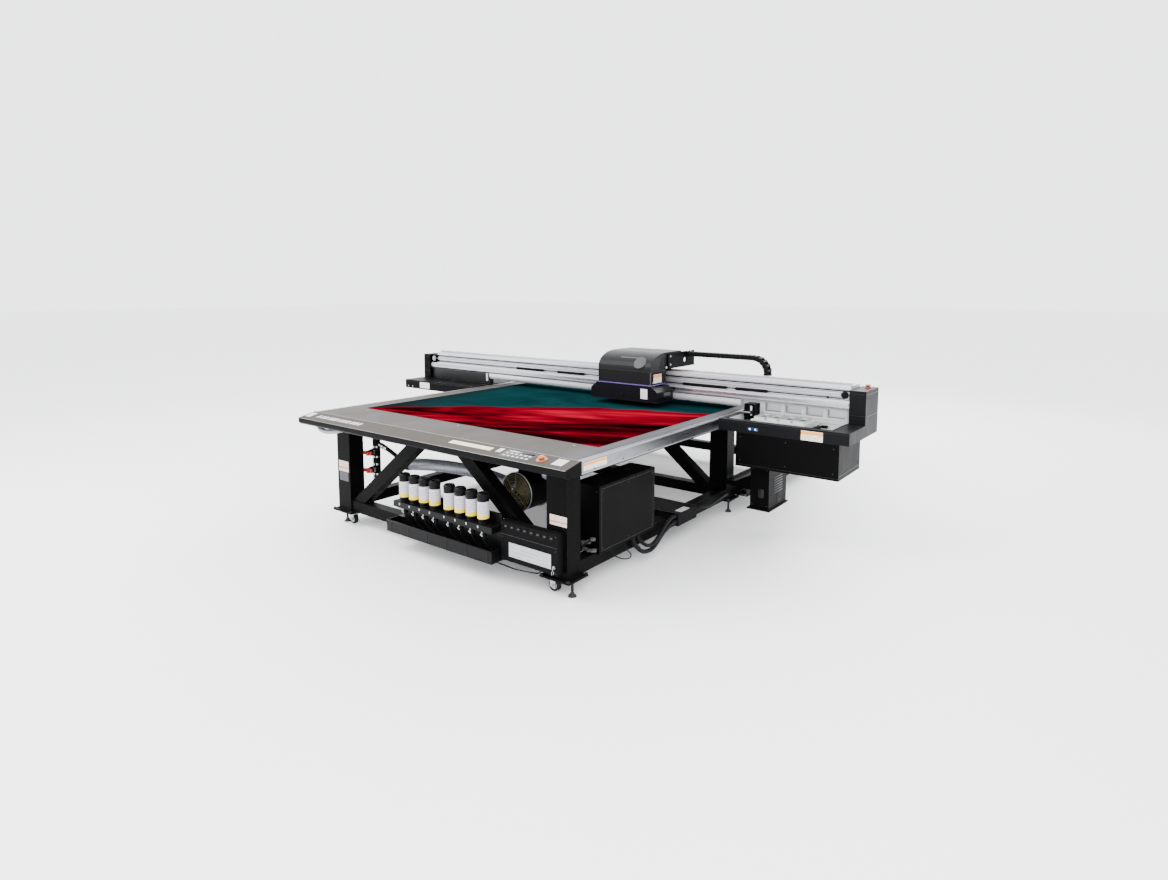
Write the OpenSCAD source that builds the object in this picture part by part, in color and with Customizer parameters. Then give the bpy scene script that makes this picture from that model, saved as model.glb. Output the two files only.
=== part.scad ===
// Large flatbed UV printer: fixed vacuum table, travelling gantry, print carriage on the gantry.
// Origin: centre of the whole machine's outline on the floor. X runs along the gantry, Y along
// the table away from the operator, Z up. Millimetres.

/* [Table] */
// Width of the table top
table_w = 2500; // [2480:1:2520]
// Length of the table, front lip to rear edge
table_d = 3900; // [3880:1:3920]
// Height of the print surface above the floor
table_h = 835; // [830:1:840]
// Distance of the table's middle to the right of the gantry's middle
table_x = 35; // [30:1:40]
// Thickness of the vacuum table
bed_t = 75; // [70:1:80]
// Depth of the sloping operator panel along the front
panel_d = 135; // [120:1:150]
// Height that the operator panel drops towards its front edge
panel_drop = 28; // [20:1:36]

/* [Frame] */
// Width of a leg
leg_w = 150; // [140:1:160]
// Depth of a leg
leg_d = 120; // [110:1:130]
// Distance from the table's middle to a leg's outer face
leg_reach = 1095; // [1090:1:1100]
// Front face of the front legs
front_leg_y = -1745; // [-1750:1:-1740]
// Front face of the middle legs
middle_leg_y = 215; // [205:1:225]
// Front face of the rear legs
rear_leg_y = 1625; // [1615:1:1635]
// Height of the top of the base plates
base_z = 114; // [112:1:116]
// Height of the horizontal lower beams
low_beam_h = 80; // [70:1:90]
// Thickness of the diagonal braces
brace_t = 80; // [70:1:84]

/* [Gantry] */
// Overall width of the gantry
gantry_w = 4400; // [4396:1:4404]
// Front face of the beam
beam_y = 60; // [60:1:62]
// Top of the beam
beam_top = 1097; // [1095:1:1099]
// Underside of the station, the arm and the beam's lower covers
arm_z = 755; // [750:1:756]
// Top of the end towers
tower_z = 1072; // [1070:1:1090]

/* [Carriage] */
// Left side of the carriage cover
cover_x = 204; // [200:1:208]
// Width of the carriage cover
cover_w = 488; // [486:1:488]
// Top of the carriage cover
cover_top = 1248; // [1244:1:1252]
// Height of the skirt's lower edge
skirt_z = 880; // [880:1:884]

/* [Ink supply] */
// Diameter of an ink bottle
bottle_d = 74; // [68:1:78]
// Distance between two bottles of one group
bottle_pitch = 100; // [98:1:104]
// Height of the bottle's closed end
bottle_top = 530; // [520:1:540]

/* [Hidden] */
$fn = 48;
eps = 0.01;

// Colours
steel_black = "#141414";
charcoal = "#3a3a3c";
silver = "#c8c8cc";
dark_grey = "#2a2a2a";
pale_grey = "#d9d9d6";

// Table and frame
table_left = table_x - table_w / 2;
table_right = table_x + table_w / 2;
table_front = -table_d / 2;
table_back = table_d / 2;
bed_bottom = table_h - bed_t;
side_cover_t = 35;
top_beam_h = 60;
top_beam_z = bed_bottom - top_beam_h;
low_beam_top = base_z + low_beam_h;
side_beam_w = 80;
base_w = 220;
base_l = 177;
base_t = 12;
base_under = base_z - base_t;
leg_mid = leg_reach - leg_w / 2;
brace_half = brace_t / sin(36) / 2;
brace_foot = leg_reach - leg_w - brace_half;
brace_head = 240;

// Feet and casters, measured from the table's middle
foot_reach = 1083;
caster_reach = 977;
pad_t = 8;
wheel_r = 36.5;
wheel_z = 37.5;
wheel_w = 26;
caster_trail = 22;
axle_r = 5;
caster_sides = [1, -1, 1, -1];
caster_rows = [front_leg_y, front_leg_y, rear_leg_y, rear_leg_y];

// Gantry
gantry_right = gantry_w / 2;
gantry_left = -gantry_w / 2;
beam_back = 260;
beam_low = 869;
tower_front = 34;
tower_back = 314;
right_tower_w = 108;
left_tower_w = 90;
beam_x0 = gantry_left + left_tower_w;
beam_x1 = gantry_right - right_tower_w;
motor_gap = 90;
arm_front = -208;
arm_top = table_h;
arm_right = table_left - 30;
station_left = table_right + 20;
station_front = -283;
station_top = table_h + 10;
station_z = 765;
station_wall = 40;
cover_low_x0 = -1290;
cover_low_x1 = 1300;
cover_low_top = 934;
carrier_z = 702;
rail_z = 720;
rail_h = 25;
rail_t = 20;
truck_gap = 1;
pulley_z = 1035;
pulley_r = 24;
pulley_x0 = -2060;
pulley_x1 = 2050;
belt_t = 3;
belt_y = 44;
belt_w = 14;
front_rail_z = 960;
front_rail_h = 20;

// Cable chain of the carriage, an upper and a lower run joined by a half turn
chain_y = 310;
chain_w = 80;
chain_t = 45;
chain_r = 110;
chain_z = 1215;
chain_bend_x = 1275;
chain_end_x = 0;
bracket_x = 694;
bracket_t = 12;

// Cable chain of the gantry, along the table's right side
table_chain_x = 1172;
table_chain_w = 60;
table_chain_t = 36;
table_chain_r = 70;
table_chain_bend = 1012;
table_tray_z = 122;
table_chain_top = table_tray_z + 8 + table_chain_t + 2 * table_chain_r;
chain_arm_y = 106;

// Carriage
skirt_flare = 65;
cover_front = -205;
cover_back = 250;
carriage_back = 16;
trim_z = 1006;
cover_z = 1012;
shell_t = 4;
skirt_x0 = cover_x - skirt_flare;
skirt_x1 = cover_x + cover_w + skirt_flare;
skirt_front = cover_front - 10;

// Emergency stops
stop_y = 240;
stop_x = 2150;
panel_slope = atan(panel_drop / panel_d);
panel_stop_x = 1063;
panel_stop_y = table_front + 71;
panel_stop_z = table_h - panel_drop + 71 * tan(panel_slope);

// Blower
blower_x = 500;
blower_y = -1480;
blower_z = 450;
blower_r = 125;
blower_l = 200;

// Valve manifold
valve_x = -840;
valve_y = -1560;
upper_valve_z = 540;
lower_valve_z = 410;

// Control cabinet: left, right, front, back and top
cabinet = [975, 1165, -1490, -890, 600];

// Ink supply
bottle_y = -1810;
bottle_first_x = -200;
bottle_group_gap = 36;
bottles_per_group = 4;
tray_x0 = -330;
tray_x1 = 655;
tray_front = -1865;
tray_z = 128;
tray_h = 77;
socket_z = 345;

// ---- helpers ----

module block(x0, x1, y0, y1, z0, z1) {
    translate([x0, y0, z0]) cube([x1 - x0, y1 - y0, z1 - z0]);
}

// A cylinder along Y from y0 to y1
module rod_y(x, z, r, y0, y1) {
    translate([x, y0, z]) rotate([-90, 0, 0]) cylinder(r = r, h = y1 - y0);
}

// A cylinder along X from x0 to x1
module rod_x(y, z, r, x0, x1) {
    translate([x0, y, z]) rotate([0, 90, 0]) cylinder(r = r, h = x1 - x0);
}

// A YZ outline carried along X from x0 to x1
module along_x(x0, x1) {
    translate([x0, 0, 0]) rotate([90, 0, 90]) linear_extrude(x1 - x0) children();
}

// An XZ outline carried along Y from y0 to y1
module along_y(y0, y1) {
    translate([0, y1, 0]) rotate([90, 0, 0]) linear_extrude(y1 - y0) children();
}

// Points of a smooth line through hand-set points
function spline_point(a, b, c, d, t) =
    0.5 * (2 * b + (c - a) * t + (2 * a - 5 * b + 4 * c - d) * t * t
           + (3 * b - a - 3 * c + d) * t * t * t);
function route_at(p, i) = p[max(0, min(len(p) - 1, i))];
function smooth(p, n) = concat(
    [for (i = [0 : len(p) - 2]) for (k = [0 : n - 1])
        spline_point(route_at(p, i - 1), p[i], p[i + 1], route_at(p, i + 2), k / n)],
    [p[len(p) - 1]]);
function unit(v) = v / norm(v);
function tangent(p, i) = unit(route_at(p, i + 1) - route_at(p, i - 1));

// A tube swept along a route
module tube(route, r, sides = 12, steps = 4, level = [0, 0, 1]) {
    p = smooth(route, steps);
    n = len(p);
    rings = [for (i = [0 : n - 1])
        let (t = tangent(p, i), s = unit(cross(t, level)), u = cross(s, t))
        for (k = [0 : sides - 1]) p[i] + r * (cos(360 * k / sides) * s + sin(360 * k / sides) * u)];
    walls = [for (i = [0 : n - 2]) for (k = [0 : sides - 1])
        let (a = i * sides, b = a + sides, j = (k + 1) % sides) [a + k, a + j, b + j, b + k]];
    start = [[for (k = [0 : sides - 1]) sides - 1 - k]];
    finish = [[for (k = [0 : sides - 1]) (n - 1) * sides + k]];
    polyhedron(points = rings, faces = concat(walls, start, finish), convexity = 6);
}

// ---- table and frame ----

// Welded leg frame: two legs on base plates, lower and upper beam, two diagonal braces
module leg_frame(y0) {
    translate([table_x, 0, 0]) {
        for (side = [-1, 1]) {
            block(side * leg_mid - leg_w / 2, side * leg_mid + leg_w / 2,
                  y0, y0 + leg_d, base_z, top_beam_z);
            block(side * leg_mid - base_w / 2, side * leg_mid + base_w / 2,
                  y0 + leg_d / 2 - base_l / 2, y0 + leg_d / 2 + base_l / 2, base_under, base_z);
            brace(side, y0);
        }
        block(-leg_reach + leg_w, leg_reach - leg_w, y0 + 10, y0 + 90, base_z, low_beam_top);
        block(-leg_reach, leg_reach, y0, y0 + leg_d, top_beam_z, bed_bottom);
    }
}

module brace(side, y0) {
    along_y(y0 + leg_d / 2 - brace_t / 2, y0 + leg_d / 2 + brace_t / 2)
        polygon([[side * (brace_foot - brace_half), low_beam_top],
                 [side * (brace_foot + brace_half), low_beam_top],
                 [side * (brace_head + brace_half), top_beam_z],
                 [side * (brace_head - brace_half), top_beam_z]]);
}

// Pad under a base plate that a caster is bolted to
module caster_pad(i) {
    translate([caster_x(i), caster_y(i), base_under - pad_t / 2]) cube([90, 90, pad_t], center = true);
}
function caster_x(i) = table_x + caster_sides[i] * caster_reach;
function caster_y(i) = caster_rows[i] + leg_d / 2;

module front_frame() {
    color(steel_black) {
        leg_frame(front_leg_y);
        caster_pad(0);
        caster_pad(1);
    }
}

module inner_frames() {
    color(steel_black) {
        leg_frame(middle_leg_y);
        leg_frame(rear_leg_y);
        caster_pad(2);
        caster_pad(3);
    }
}

// Beams along the table between the leg frames, on the side given by 1 or -1. The right side
// also carries the tray for the gantry's cable chain
module side_frame(side) {
    for (span = [[front_leg_y + leg_d, middle_leg_y], [middle_leg_y + leg_d, rear_leg_y]])
        translate([table_x, 0, 0]) {
            low0 = side > 0 ? leg_reach - side_beam_w : -leg_reach;
            top0 = side > 0 ? leg_reach - leg_w : -leg_reach;
            block(low0, low0 + side_beam_w, span[0], span[1], base_z, low_beam_top);
            block(top0, top0 + leg_w, span[0], span[1], top_beam_z, bed_bottom);
        }
}

module side_frames() {
    color(steel_black) {
        side_frame(-1);
        side_frame(1);
        block(table_x + leg_reach - eps, table_chain_x + table_chain_w + 8,
              middle_leg_y + leg_d + 10, table_back - 20, table_tray_z, table_tray_z + 8);
    }
}

// Aluminium table with suction ports in its underside
module vacuum_table() {
    color("#8b8680") difference() {
        block(table_left + side_cover_t, table_right - side_cover_t,
              table_front + panel_d, table_back, bed_bottom, table_h);
        for (x = [-800, -200, 400, 900])
            for (y = [-1200, -500, 900])
                translate([x, y, bed_bottom - eps]) cylinder(r = 30, h = 40);
    }
}

module side_covers() {
    color(silver)
        for (x0 = [table_left, table_right - side_cover_t])
            block(x0, x0 + side_cover_t, table_front + panel_d, table_back, bed_bottom, table_h);
}

// Sloping operator panel with the emergency stop's amber collar
module control_panel() {
    color("#6f6b66") along_x(table_left, table_right) polygon([
        [table_front + panel_d, table_h],
        [table_front, table_h - panel_drop],
        [table_front, table_h - panel_drop - 32],
        [table_front + 20, bed_bottom],
        [table_front + panel_d, bed_bottom]]);
    color("orange") on_panel() difference() {
        cylinder(r = 29, h = 5);
        translate([0, 0, 1]) cylinder(r = 8, h = 5);
    }
}

module on_panel() {
    translate([panel_stop_x, panel_stop_y, panel_stop_z]) rotate([panel_slope, 0, 0]) children();
}

module y_rails() {
    color(silver) {
        x_right = table_x + leg_reach;
        x_left = table_x - leg_reach - rail_t;
        for (x = [x_left, x_right])
            block(x, x + rail_t, front_leg_y, table_back - 20, rail_z, rail_z + rail_h);
    }
}

// ---- equipment under the table ----

module control_cabinet() {
    color(steel_black) difference() {
        block(cabinet[0], cabinet[1], cabinet[2], cabinet[3], low_beam_top, cabinet[4]);
        block(cabinet[0] + 4, cabinet[1] - 4, cabinet[2] + 4, cabinet[3] - 4,
              low_beam_top + 4, cabinet[4] - 4);
        for (i = [0 : 5])
            block(cabinet[0] - 1, cabinet[0] + 5, -1380 + 70 * i, -1350 + 70 * i, 300, 420);
    }
}

// Power supply and control board inside the cabinet
module cabinet_electronics() {
    color("silver") block(990, 1090, -1450, -1290, low_beam_top + 4, 330);
    color("green") block(1140, 1148, -1240, -920, 260, 540);
    color("#555555") for (y = [-1220, -940])
        for (z = [280, 520])
            rod_x(y, z, 5, 1148, 1161);
}

// Low supply box that straddles the lower side beam
module power_box() {
    color(dark_grey) difference() {
        block(820, 1168, -590, -330, 122, low_beam_top + 14);
        block(table_x + leg_reach - side_beam_w, table_x + leg_reach, -600, -320, 100, low_beam_top);
    }
}

// Cables that hang below the cabinet and the ink unit, each fixed at both ends
cable_floor = 52;
cable_top = low_beam_top - 2.5;
supply_cable = [[1149, -1120, cable_top], [1149, -1120, 172], [1160, -1105, 140],
                [1172, -1040, 82], [1174, -950, cable_floor + 14], [1172, -880, 84],
                [1160, -760, 132], [1150, -640, 152], [1150, -591, 152]];
motor_cable = [[1149, -1060, cable_top], [1149, -1060, 172], [1165, -1050, 150],
               [1180, -1000, 112], [1182, -930, 104], [1178, -870, 122], [1165, -760, 172],
               [1150, -650, 192], [1150, -591, 192]];
sensor_cable = [[1150, -1360, cable_top + 1], [1150, -1360, 184], [1165, -1345, 150],
                [1172, -1262, 103], [1174, -1190, 86], [1172, -1170, 104], [1160, -1192, 135],
                [1150, -1215, 180], [1150, -1215, cable_top + 1]];
ink_cable = [[600, -1790, tray_z - 1.5], [600, -1790, 121], [622, -1790, 114],
             [690, -1790, 111], [771, -1790, 108], [850, -1790, 114], [940, -1790, 124],
             [965, -1790, 139], [965, -1790, 148.5]];

module cabinet_cables() {
    color(steel_black) {
        tube(supply_cable, 14, 12, 4, [1, 0, 0]);
        tube(motor_cable, 12, 12, 4, [1, 0, 0]);
        tube(sensor_cable, 3.5, 8, 4, [1, 0, 0]);
        tube(ink_cable, 4, 8, 4, [0, 1, 0]);
    }
}

// Drip tray with eight bottle sockets on a back plate
module ink_tray() {
    color(dark_grey) {
        difference() {
            block(tray_x0, tray_x1, tray_front, front_leg_y + 10, tray_z, tray_z + tray_h);
            block(tray_x0 + 4, tray_x1 - 4, tray_front + 4, front_leg_y - 20, tray_z + 4, tray_z + tray_h + 1);
        }
        difference() {
            union() {
                block(tray_x0 + 60, tray_x1 - 10, bottle_y - 42, front_leg_y - 14, socket_z - 40, socket_z - 2);
                block(tray_x0 + 60, tray_x1 - 10, front_leg_y - 20, front_leg_y - 4, tray_z + tray_h - 5, socket_z + 60);
            }
            for (g = [0, 1])
                for (i = [0 : bottles_per_group - 1])
                    translate([bottle_x(g, i), bottle_y, socket_z - 41]) cylinder(r = 15, h = 50);
        }
    }
}
function bottle_x(group, i) =
    bottle_first_x + i * bottle_pitch + group * (bottles_per_group * bottle_pitch + bottle_group_gap);

// Upside-down bottle: round body, shoulder and a neck that drops into its socket
module ink_bottle(x) {
    translate([x, bottle_y, 0]) rotate_extrude() polygon([
        [0, bottle_top], [bottle_d / 2 - 5, bottle_top], [bottle_d / 2, bottle_top - 6],
        [bottle_d / 2, socket_z + 26], [14, socket_z], [14, socket_z - 34], [0, socket_z - 34]]);
}

module ink_bottles_left() {
    color("white") for (i = [0 : bottles_per_group - 1]) ink_bottle(bottle_x(0, i));
}

module ink_bottles_right() {
    color("white") for (i = [0 : bottles_per_group - 1]) ink_bottle(bottle_x(1, i));
}

// Box with the row of ink cartridge chip slots above a plain plate
module ink_control_box() {
    color(dark_grey) difference() {
        block(670, 1105, -1800, front_leg_y, 150, 385);
        for (i = [0 : 7])
            block(700 + i * 50, 722 + i * 50, -1801, -1788, 352, 364);
    }
    color(silver) block(735, 1062, -1802.5, -1800, 180, 268);
}

// Drum of the suction blower with its hanger, back plate, motor and side port
module blower_housing() {
    color(dark_grey) {
        difference() {
            union() {
                rod_y(blower_x, blower_z, blower_r, blower_y, blower_y + blower_l);
                rod_x(blower_y + 100, blower_z, 46, blower_x - blower_r - 20, blower_x);
            }
            rod_y(blower_x, blower_z, blower_r - 12, blower_y - 1, blower_y + blower_l - 14);
            rod_x(blower_y + 100, blower_z, 38, blower_x - blower_r - 21, blower_x);
            rod_y(blower_x, blower_z, 10.05, blower_y + 100, blower_y + blower_l + 1);
        }
        difference() {
            rod_y(blower_x, blower_z, 60, blower_y + blower_l, blower_y + blower_l + 110);
            rod_y(blower_x, blower_z, 10.05, blower_y + blower_l - 1, blower_y + blower_l + 40);
        }
        block(blower_x - 40, blower_x + 40, blower_y + 60, blower_y + 140,
              blower_z + blower_r - 10, bed_bottom);
    }
}

module blower_impeller() {
    color("#6b5a34") {
        rod_y(blower_x, blower_z, 98, blower_y + 110, blower_y + 116);
        rod_y(blower_x, blower_z, 26, blower_y + 40, blower_y + 112);
        rod_y(blower_x, blower_z, 10, blower_y + 112, blower_y + blower_l + 30);
        for (a = [0 : 30 : 330])
            translate([blower_x, 0, blower_z]) rotate([0, a, 0])
                block(24, 96, blower_y + 50, blower_y + 112, -2, 2);
    }
}

// Wide suction hose from the blower to the reducer and the thin hose on to the valves
hose_start = [blower_x - blower_r - 20, blower_y + 100, blower_z];
wide_hose_route = [hose_start, [300, -1385, 465], [120, -1400, 490], [-120, -1430, 500],
                   [-360, -1455, 490], [-600, -1470, 462]];
thin_hose_route = [[-600, -1470, 462], [-670, -1490, 500], [-740, -1530, 560], [-800, -1558, 596],
                   [valve_x + 28, valve_y, 600]];

module vacuum_hoses() {
    color("#8f9299") tube(wide_hose_route, 44, 12, 5);
    color(steel_black) tube(thin_hose_route, 17, 10, 5);
}

// Upright pipe with two ball valves that face the operator
module valve_manifold() {
    color(dark_grey) {
        translate([valve_x, valve_y, 330]) cylinder(r = 28, h = bed_bottom - 330);
        for (z = [upper_valve_z, lower_valve_z]) {
            rod_y(valve_x, z, 24, valve_y - 60, valve_y);
            rod_y(valve_x, z, 8, valve_y - 74, valve_y - 60);
        }
    }
    color(dark_grey) block(valve_x - 70, valve_x - 26, valve_y - 15, valve_y + 15, 640, bed_bottom);
}

module valve_handle(z) {
    color("red") difference() {
        union() {
            rod_y(valve_x, z, 20, valve_y - 84, valve_y - 61);
            block(valve_x - 45, valve_x + 45, valve_y - 84, valve_y - 74, z - 11, z + 11);
        }
        rod_y(valve_x, z, 8.05, valve_y - 75, valve_y - 60);
    }
}

module upper_valve_handle() {
    valve_handle(upper_valve_z);
}

module lower_valve_handle() {
    valve_handle(lower_valve_z);
}

module levelling_feet() {
    color(silver)
        for (side = [-1, 1])
            for (y0 = [front_leg_y, middle_leg_y, rear_leg_y])
                translate([table_x + side * foot_reach, y0 + leg_d / 2, 0]) {
                    cylinder(r1 = 26, r2 = 22, h = 10);
                    cylinder(r1 = 20, r2 = 12, h = 22);
                    cylinder(r = 8, h = base_under);
                    translate([0, 0, base_under - 12]) cylinder(r = 14, h = 12, $fn = 6);
                }
}

// ---- casters ----

// Swivel fork: crown plate with a king pin that turns against the pad, two cheeks, axle
module caster_fork(i) {
    color("#777777") translate([caster_x(i), caster_y(i), 0]) {
        translate([0, 0, 84]) cylinder(r = 24, h = base_under - pad_t - 84 - 0.3);
        block(-44, 24, -24, 24, 78, 84 + eps);
        for (s = [-1, 1]) {
            y0 = s > 0 ? wheel_w / 2 + 3 : -wheel_w / 2 - 8;
            block(-44, -4, y0, y0 + 5, wheel_z - 10, 78 + eps);
        }
        rod_y(-caster_trail, wheel_z, axle_r, -wheel_w / 2 - 8, wheel_w / 2 + 8);
    }
}

module caster_wheel(i) {
    color("#222222") translate([caster_x(i) - caster_trail, caster_y(i), wheel_z])
        rotate([90, 0, 0]) difference() {
            union() {
                cylinder(r = wheel_r, h = wheel_w, center = true);
                cylinder(r = 12, h = wheel_w + 4, center = true);
            }
            cylinder(r = axle_r + 0.05, h = wheel_w + 5, center = true);
        }
}

// ---- gantry ----

// Aluminium beam with its stepped front: ledge, groove, rail seat, groove and broad band
module gantry_beam() {
    color(silver) difference() {
        along_x(beam_x0, beam_x1) polygon([
            [beam_y, beam_top], [beam_back, beam_top], [beam_back, beam_low], [120, beam_low],
            [120, cover_low_top + 6], [beam_y + 2, cover_low_top + 6], [beam_y - 4, 948],
            [beam_y - 4, 998], [beam_y + 18, 1002], [beam_y + 18, 1018], [beam_y + 4, 1022],
            [beam_y + 4, 1048], [beam_y + 16, 1052], [beam_y + 16, 1068], [beam_y, 1072]]);
        block(beam_x0 - 1, beam_x0 + motor_gap, beam_y - 5, beam_back - 20, 990, beam_top + 1);
        along_x(beam_x0 - 1, beam_x1 + 1) polygon([
            [140, 890], [240, 890], [240, 1070], [140, 1070]]);
    }
}

// Guide rails on the beam's top and on its broad front band
module beam_rails() {
    color("#9a9aa0") {
        block(beam_x0 + motor_gap + 5, beam_x1 - 5, 100, 115, beam_top, beam_top + 15);
        block(beam_x0 + 10, beam_x1 - 10, belt_y, beam_y - 4, front_rail_z, front_rail_z + front_rail_h);
    }
}

module rounded_cover_outline() {
    r = 36;
    polygon(concat([[118, cover_low_top], [62, cover_low_top], [62, 874 + r]],
                   [for (a = [180 : 15 : 270]) [62 + r + r * cos(a), 874 + r + r * sin(a)]],
                   [[118, 874]]));
}

// Bright rounded cover along the beam's lower front and the plain black panel at its left end
module beam_lower_covers() {
    color(silver) along_x(cover_low_x0 + 1, cover_low_x1) rounded_cover_outline();
    color(steel_black) block(beam_x0, cover_low_x0, 62, 118, arm_top, cover_low_top);
}

module stop_collar(x) {
    difference() {
        translate([x, stop_y, tower_z - eps]) cylinder(r = 20, h = 8 + eps);
        translate([x, stop_y, tower_z - 8]) cylinder(r = 8, h = 17);
    }
}

module stop_seat(x) {
    translate([x, stop_y, tower_z - 8]) cylinder(r = 8, h = 17);
}

module left_tower() {
    color(steel_black) {
        difference() {
            block(gantry_left, beam_x0, tower_front, tower_back, arm_top, tower_z);
            stop_seat(-stop_x);
        }
        stop_collar(-stop_x);
    }
}

module right_tower() {
    color(charcoal) {
        difference() {
            block(beam_x1, gantry_right, tower_front, tower_back, station_top, tower_z);
            stop_seat(stop_x);
        }
        stop_collar(stop_x);
    }
}

// Mushroom button: stem, neck and domed cap, along +Z from the seat
module stop_button(top) {
    cylinder(r = 7.95, h = top + 1);
    translate([0, 0, top]) rotate_extrude() polygon([
        [0, 0], [16, 0], [18, 3], [18, 8], [15, 12], [8, 14], [0, 14]]);
}

module left_stop_button() {
    color("#d8402c") translate([-stop_x, stop_y, tower_z - 2]) stop_button(14);
}

module right_stop_button() {
    color("#d8402c") translate([stop_x, stop_y, tower_z - 2]) stop_button(14);
}

module panel_stop_button() {
    color("#e07a28") on_panel() translate([0, 0, 5.5]) stop_button(4.5);
}

module left_arm() {
    color(steel_black) block(gantry_left, arm_right, arm_front, tower_back, arm_z, arm_top);
}

// Upper housing of the maintenance station, open on top in front of the beam
module station_body() {
    color(charcoal) difference() {
        block(station_left, gantry_right, station_front, tower_back, station_z, station_top);
        block(station_left + station_wall, beam_x1 - 12, station_front + station_wall, 118,
              station_z + 25, station_top + 1);
    }
}

// Pale liner of the station with the screen behind the heads' parking place
module station_tray() {
    color(pale_grey) {
        difference() {
            block(station_left + station_wall, beam_x1 - 12, station_front + station_wall, 118,
                  station_z + 25, station_top - 4);
            block(station_left + station_wall + 4, beam_x1 - 16, station_front + station_wall + 4, 114,
                  station_z + 31, station_top);
        }
        difference() {
            block(1440, beam_x1 - 14, 96, 102, station_z + 31 - eps, cover_low_top);
            for (i = [0 : 3])
                block(1480 + 150 * i, 1600 + 150 * i, 95, 103, 862, 920);
        }
    }
}

// Lower housing of the station
module station_cover() {
    color(steel_black) block(1436, 2140, station_front, 150, 531, station_z);
}

// Gantry drive unit that hangs under the station, with a pale base lip and the arm that leads
// the table's cable chain
module drive_box() {
    color(steel_black) block(1500, 1637, -170, 136, 220, 531);
    color(steel_black) along_y(chain_arm_y - 6, chain_arm_y) polygon([
        [1500 + eps, 262], [1500 + eps, 400], [1440, 400], [1250, table_chain_top],
        [table_chain_x, table_chain_top], [table_chain_x, table_chain_top - table_chain_t],
        [1300, 262]]);
    color(silver) block(1482, 1650, -188, 150, 212, 220);
}

// Linear bearing blocks on the table's side rails with the carriers that hold the gantry
module gantry_trucks() {
    color("#8a8a8e") {
        x0 = table_x + leg_reach + truck_gap;
        difference() {
            union() {
                for (y0 = [20, 210])
                    block(x0, x0 + 50, y0, y0 + 90, carrier_z, bed_bottom - 3);
                block(x0 + 30, 1436, 60, 260, carrier_z, bed_bottom - 3);
                block(station_left + 10, 1436, 60, 260, bed_bottom - 4, station_z);
            }
            block(x0 - 10, x0 + rail_t, 0, 320, rail_z - 1, rail_z + rail_h + 1);
        }
        x1 = table_x - leg_reach - truck_gap;
        difference() {
            union() {
                for (y0 = [20, 210])
                    block(x1 - 50, x1, y0, y0 + 90, carrier_z, bed_bottom - 3);
                block(-1400, x1 - 30, 60, 260, carrier_z, arm_z);
            }
            block(x1 - rail_t, x1 + 10, 0, 320, rail_z - 1, rail_z + rail_h + 1);
        }
    }
}

// Toothed belt loop round the two pulleys
module x_belt() {
    color("black") along_y(belt_y, belt_y + belt_w) difference() {
        belt_outline(pulley_r + 0.3 + belt_t);
        belt_outline(pulley_r + 0.3);
    }
}

module belt_outline(r) {
    translate([pulley_x0, pulley_z]) circle(r = r);
    translate([pulley_x1, pulley_z]) circle(r = r);
    translate([pulley_x0, pulley_z - r]) square([pulley_x1 - pulley_x0, 2 * r]);
}

module pulley(x) {
    color("#b0b0b4") difference() {
        union() {
            rod_y(x, pulley_z, pulley_r, belt_y + 0.5, belt_y + belt_w - 0.5);
            rod_y(x, pulley_z, 12, belt_y - 4, belt_y + belt_w);
        }
        rod_y(x, pulley_z, 6.05, belt_y - 5, belt_y + belt_w + 1);
    }
}

module drive_pulley() {
    pulley(pulley_x0);
}

module idler_pulley() {
    pulley(pulley_x1);
}

// Belt motor at the left end and the idler's axle bracket at the right end
module x_motor() {
    color("#1c1c1e") {
        block(beam_x0 + 6, beam_x0 + 84, 66, 200, 990, 1074);
        rod_y(pulley_x0, pulley_z, 6, belt_y - 3, 67);
    }
    color(silver) rod_y(pulley_x1, pulley_z, 6, belt_y - 3, beam_y + 4);
}

// Channel behind the beam that the lower run of the cable chain lies in
module chain_tray() {
    color("#55565a") {
        block(chain_end_x - 60, 1430, beam_back, 420, 962, 970);
        block(chain_end_x - 60, 1430, 414, 420, 970 - eps, 1000);
    }
}

// Round end and straight runs of the cable chain's outer or inner outline
module chain_outline(r, over) {
    z_mid = chain_z - chain_r;
    translate([chain_bend_x, z_mid]) circle(r = r);
    translate([chain_end_x - over, z_mid - r]) square([chain_bend_x - chain_end_x + over, 2 * r]);
}

// The gantry's cable chain: fixed end on the side frame's tray, moving end on the drive unit's arm
module table_chain() {
    z_mid = table_tray_z + 8 + table_chain_t / 2 + table_chain_r;
    color("#161616") along_x(table_chain_x, table_chain_x + table_chain_w) difference() {
        table_chain_outline(table_chain_r + table_chain_t / 2, z_mid, 0);
        table_chain_outline(table_chain_r - table_chain_t / 2, z_mid, 1);
        translate([chain_arm_y - 1, z_mid - table_chain_r - table_chain_t])
            square([middle_leg_y + leg_d + 20 - chain_arm_y, table_chain_r + table_chain_t]);
    }
}

module table_chain_outline(r, z_mid, over) {
    y0 = chain_arm_y + 0.3 - over;
    translate([table_chain_bend, z_mid]) circle(r = r);
    translate([y0, z_mid - r]) square([table_chain_bend - y0, 2 * r]);
}

module cable_chain() {
    upper_x0 = bracket_x + bracket_t;
    color("#161616") along_y(chain_y, chain_y + chain_w) difference() {
        chain_outline(chain_r + chain_t / 2, 0);
        chain_outline(chain_r - chain_t / 2, 1);
        translate([chain_end_x - 1, chain_z - chain_r])
            square([upper_x0 - chain_end_x + 1, chain_r + chain_t]);
    }
}

module wiper_housing() {
    color(steel_black) block(1350, 1432, 24, 114, station_z + 31, 912);
}

// Rubber blade in its holder, parked in front of its housing
module wiper_blade() {
    color("#333333") {
        block(1358, 1424, -36, 23.7, 850, 866);
        block(1366, 1416, -30, -26, 866 - eps, 877);
    }
}

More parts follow.
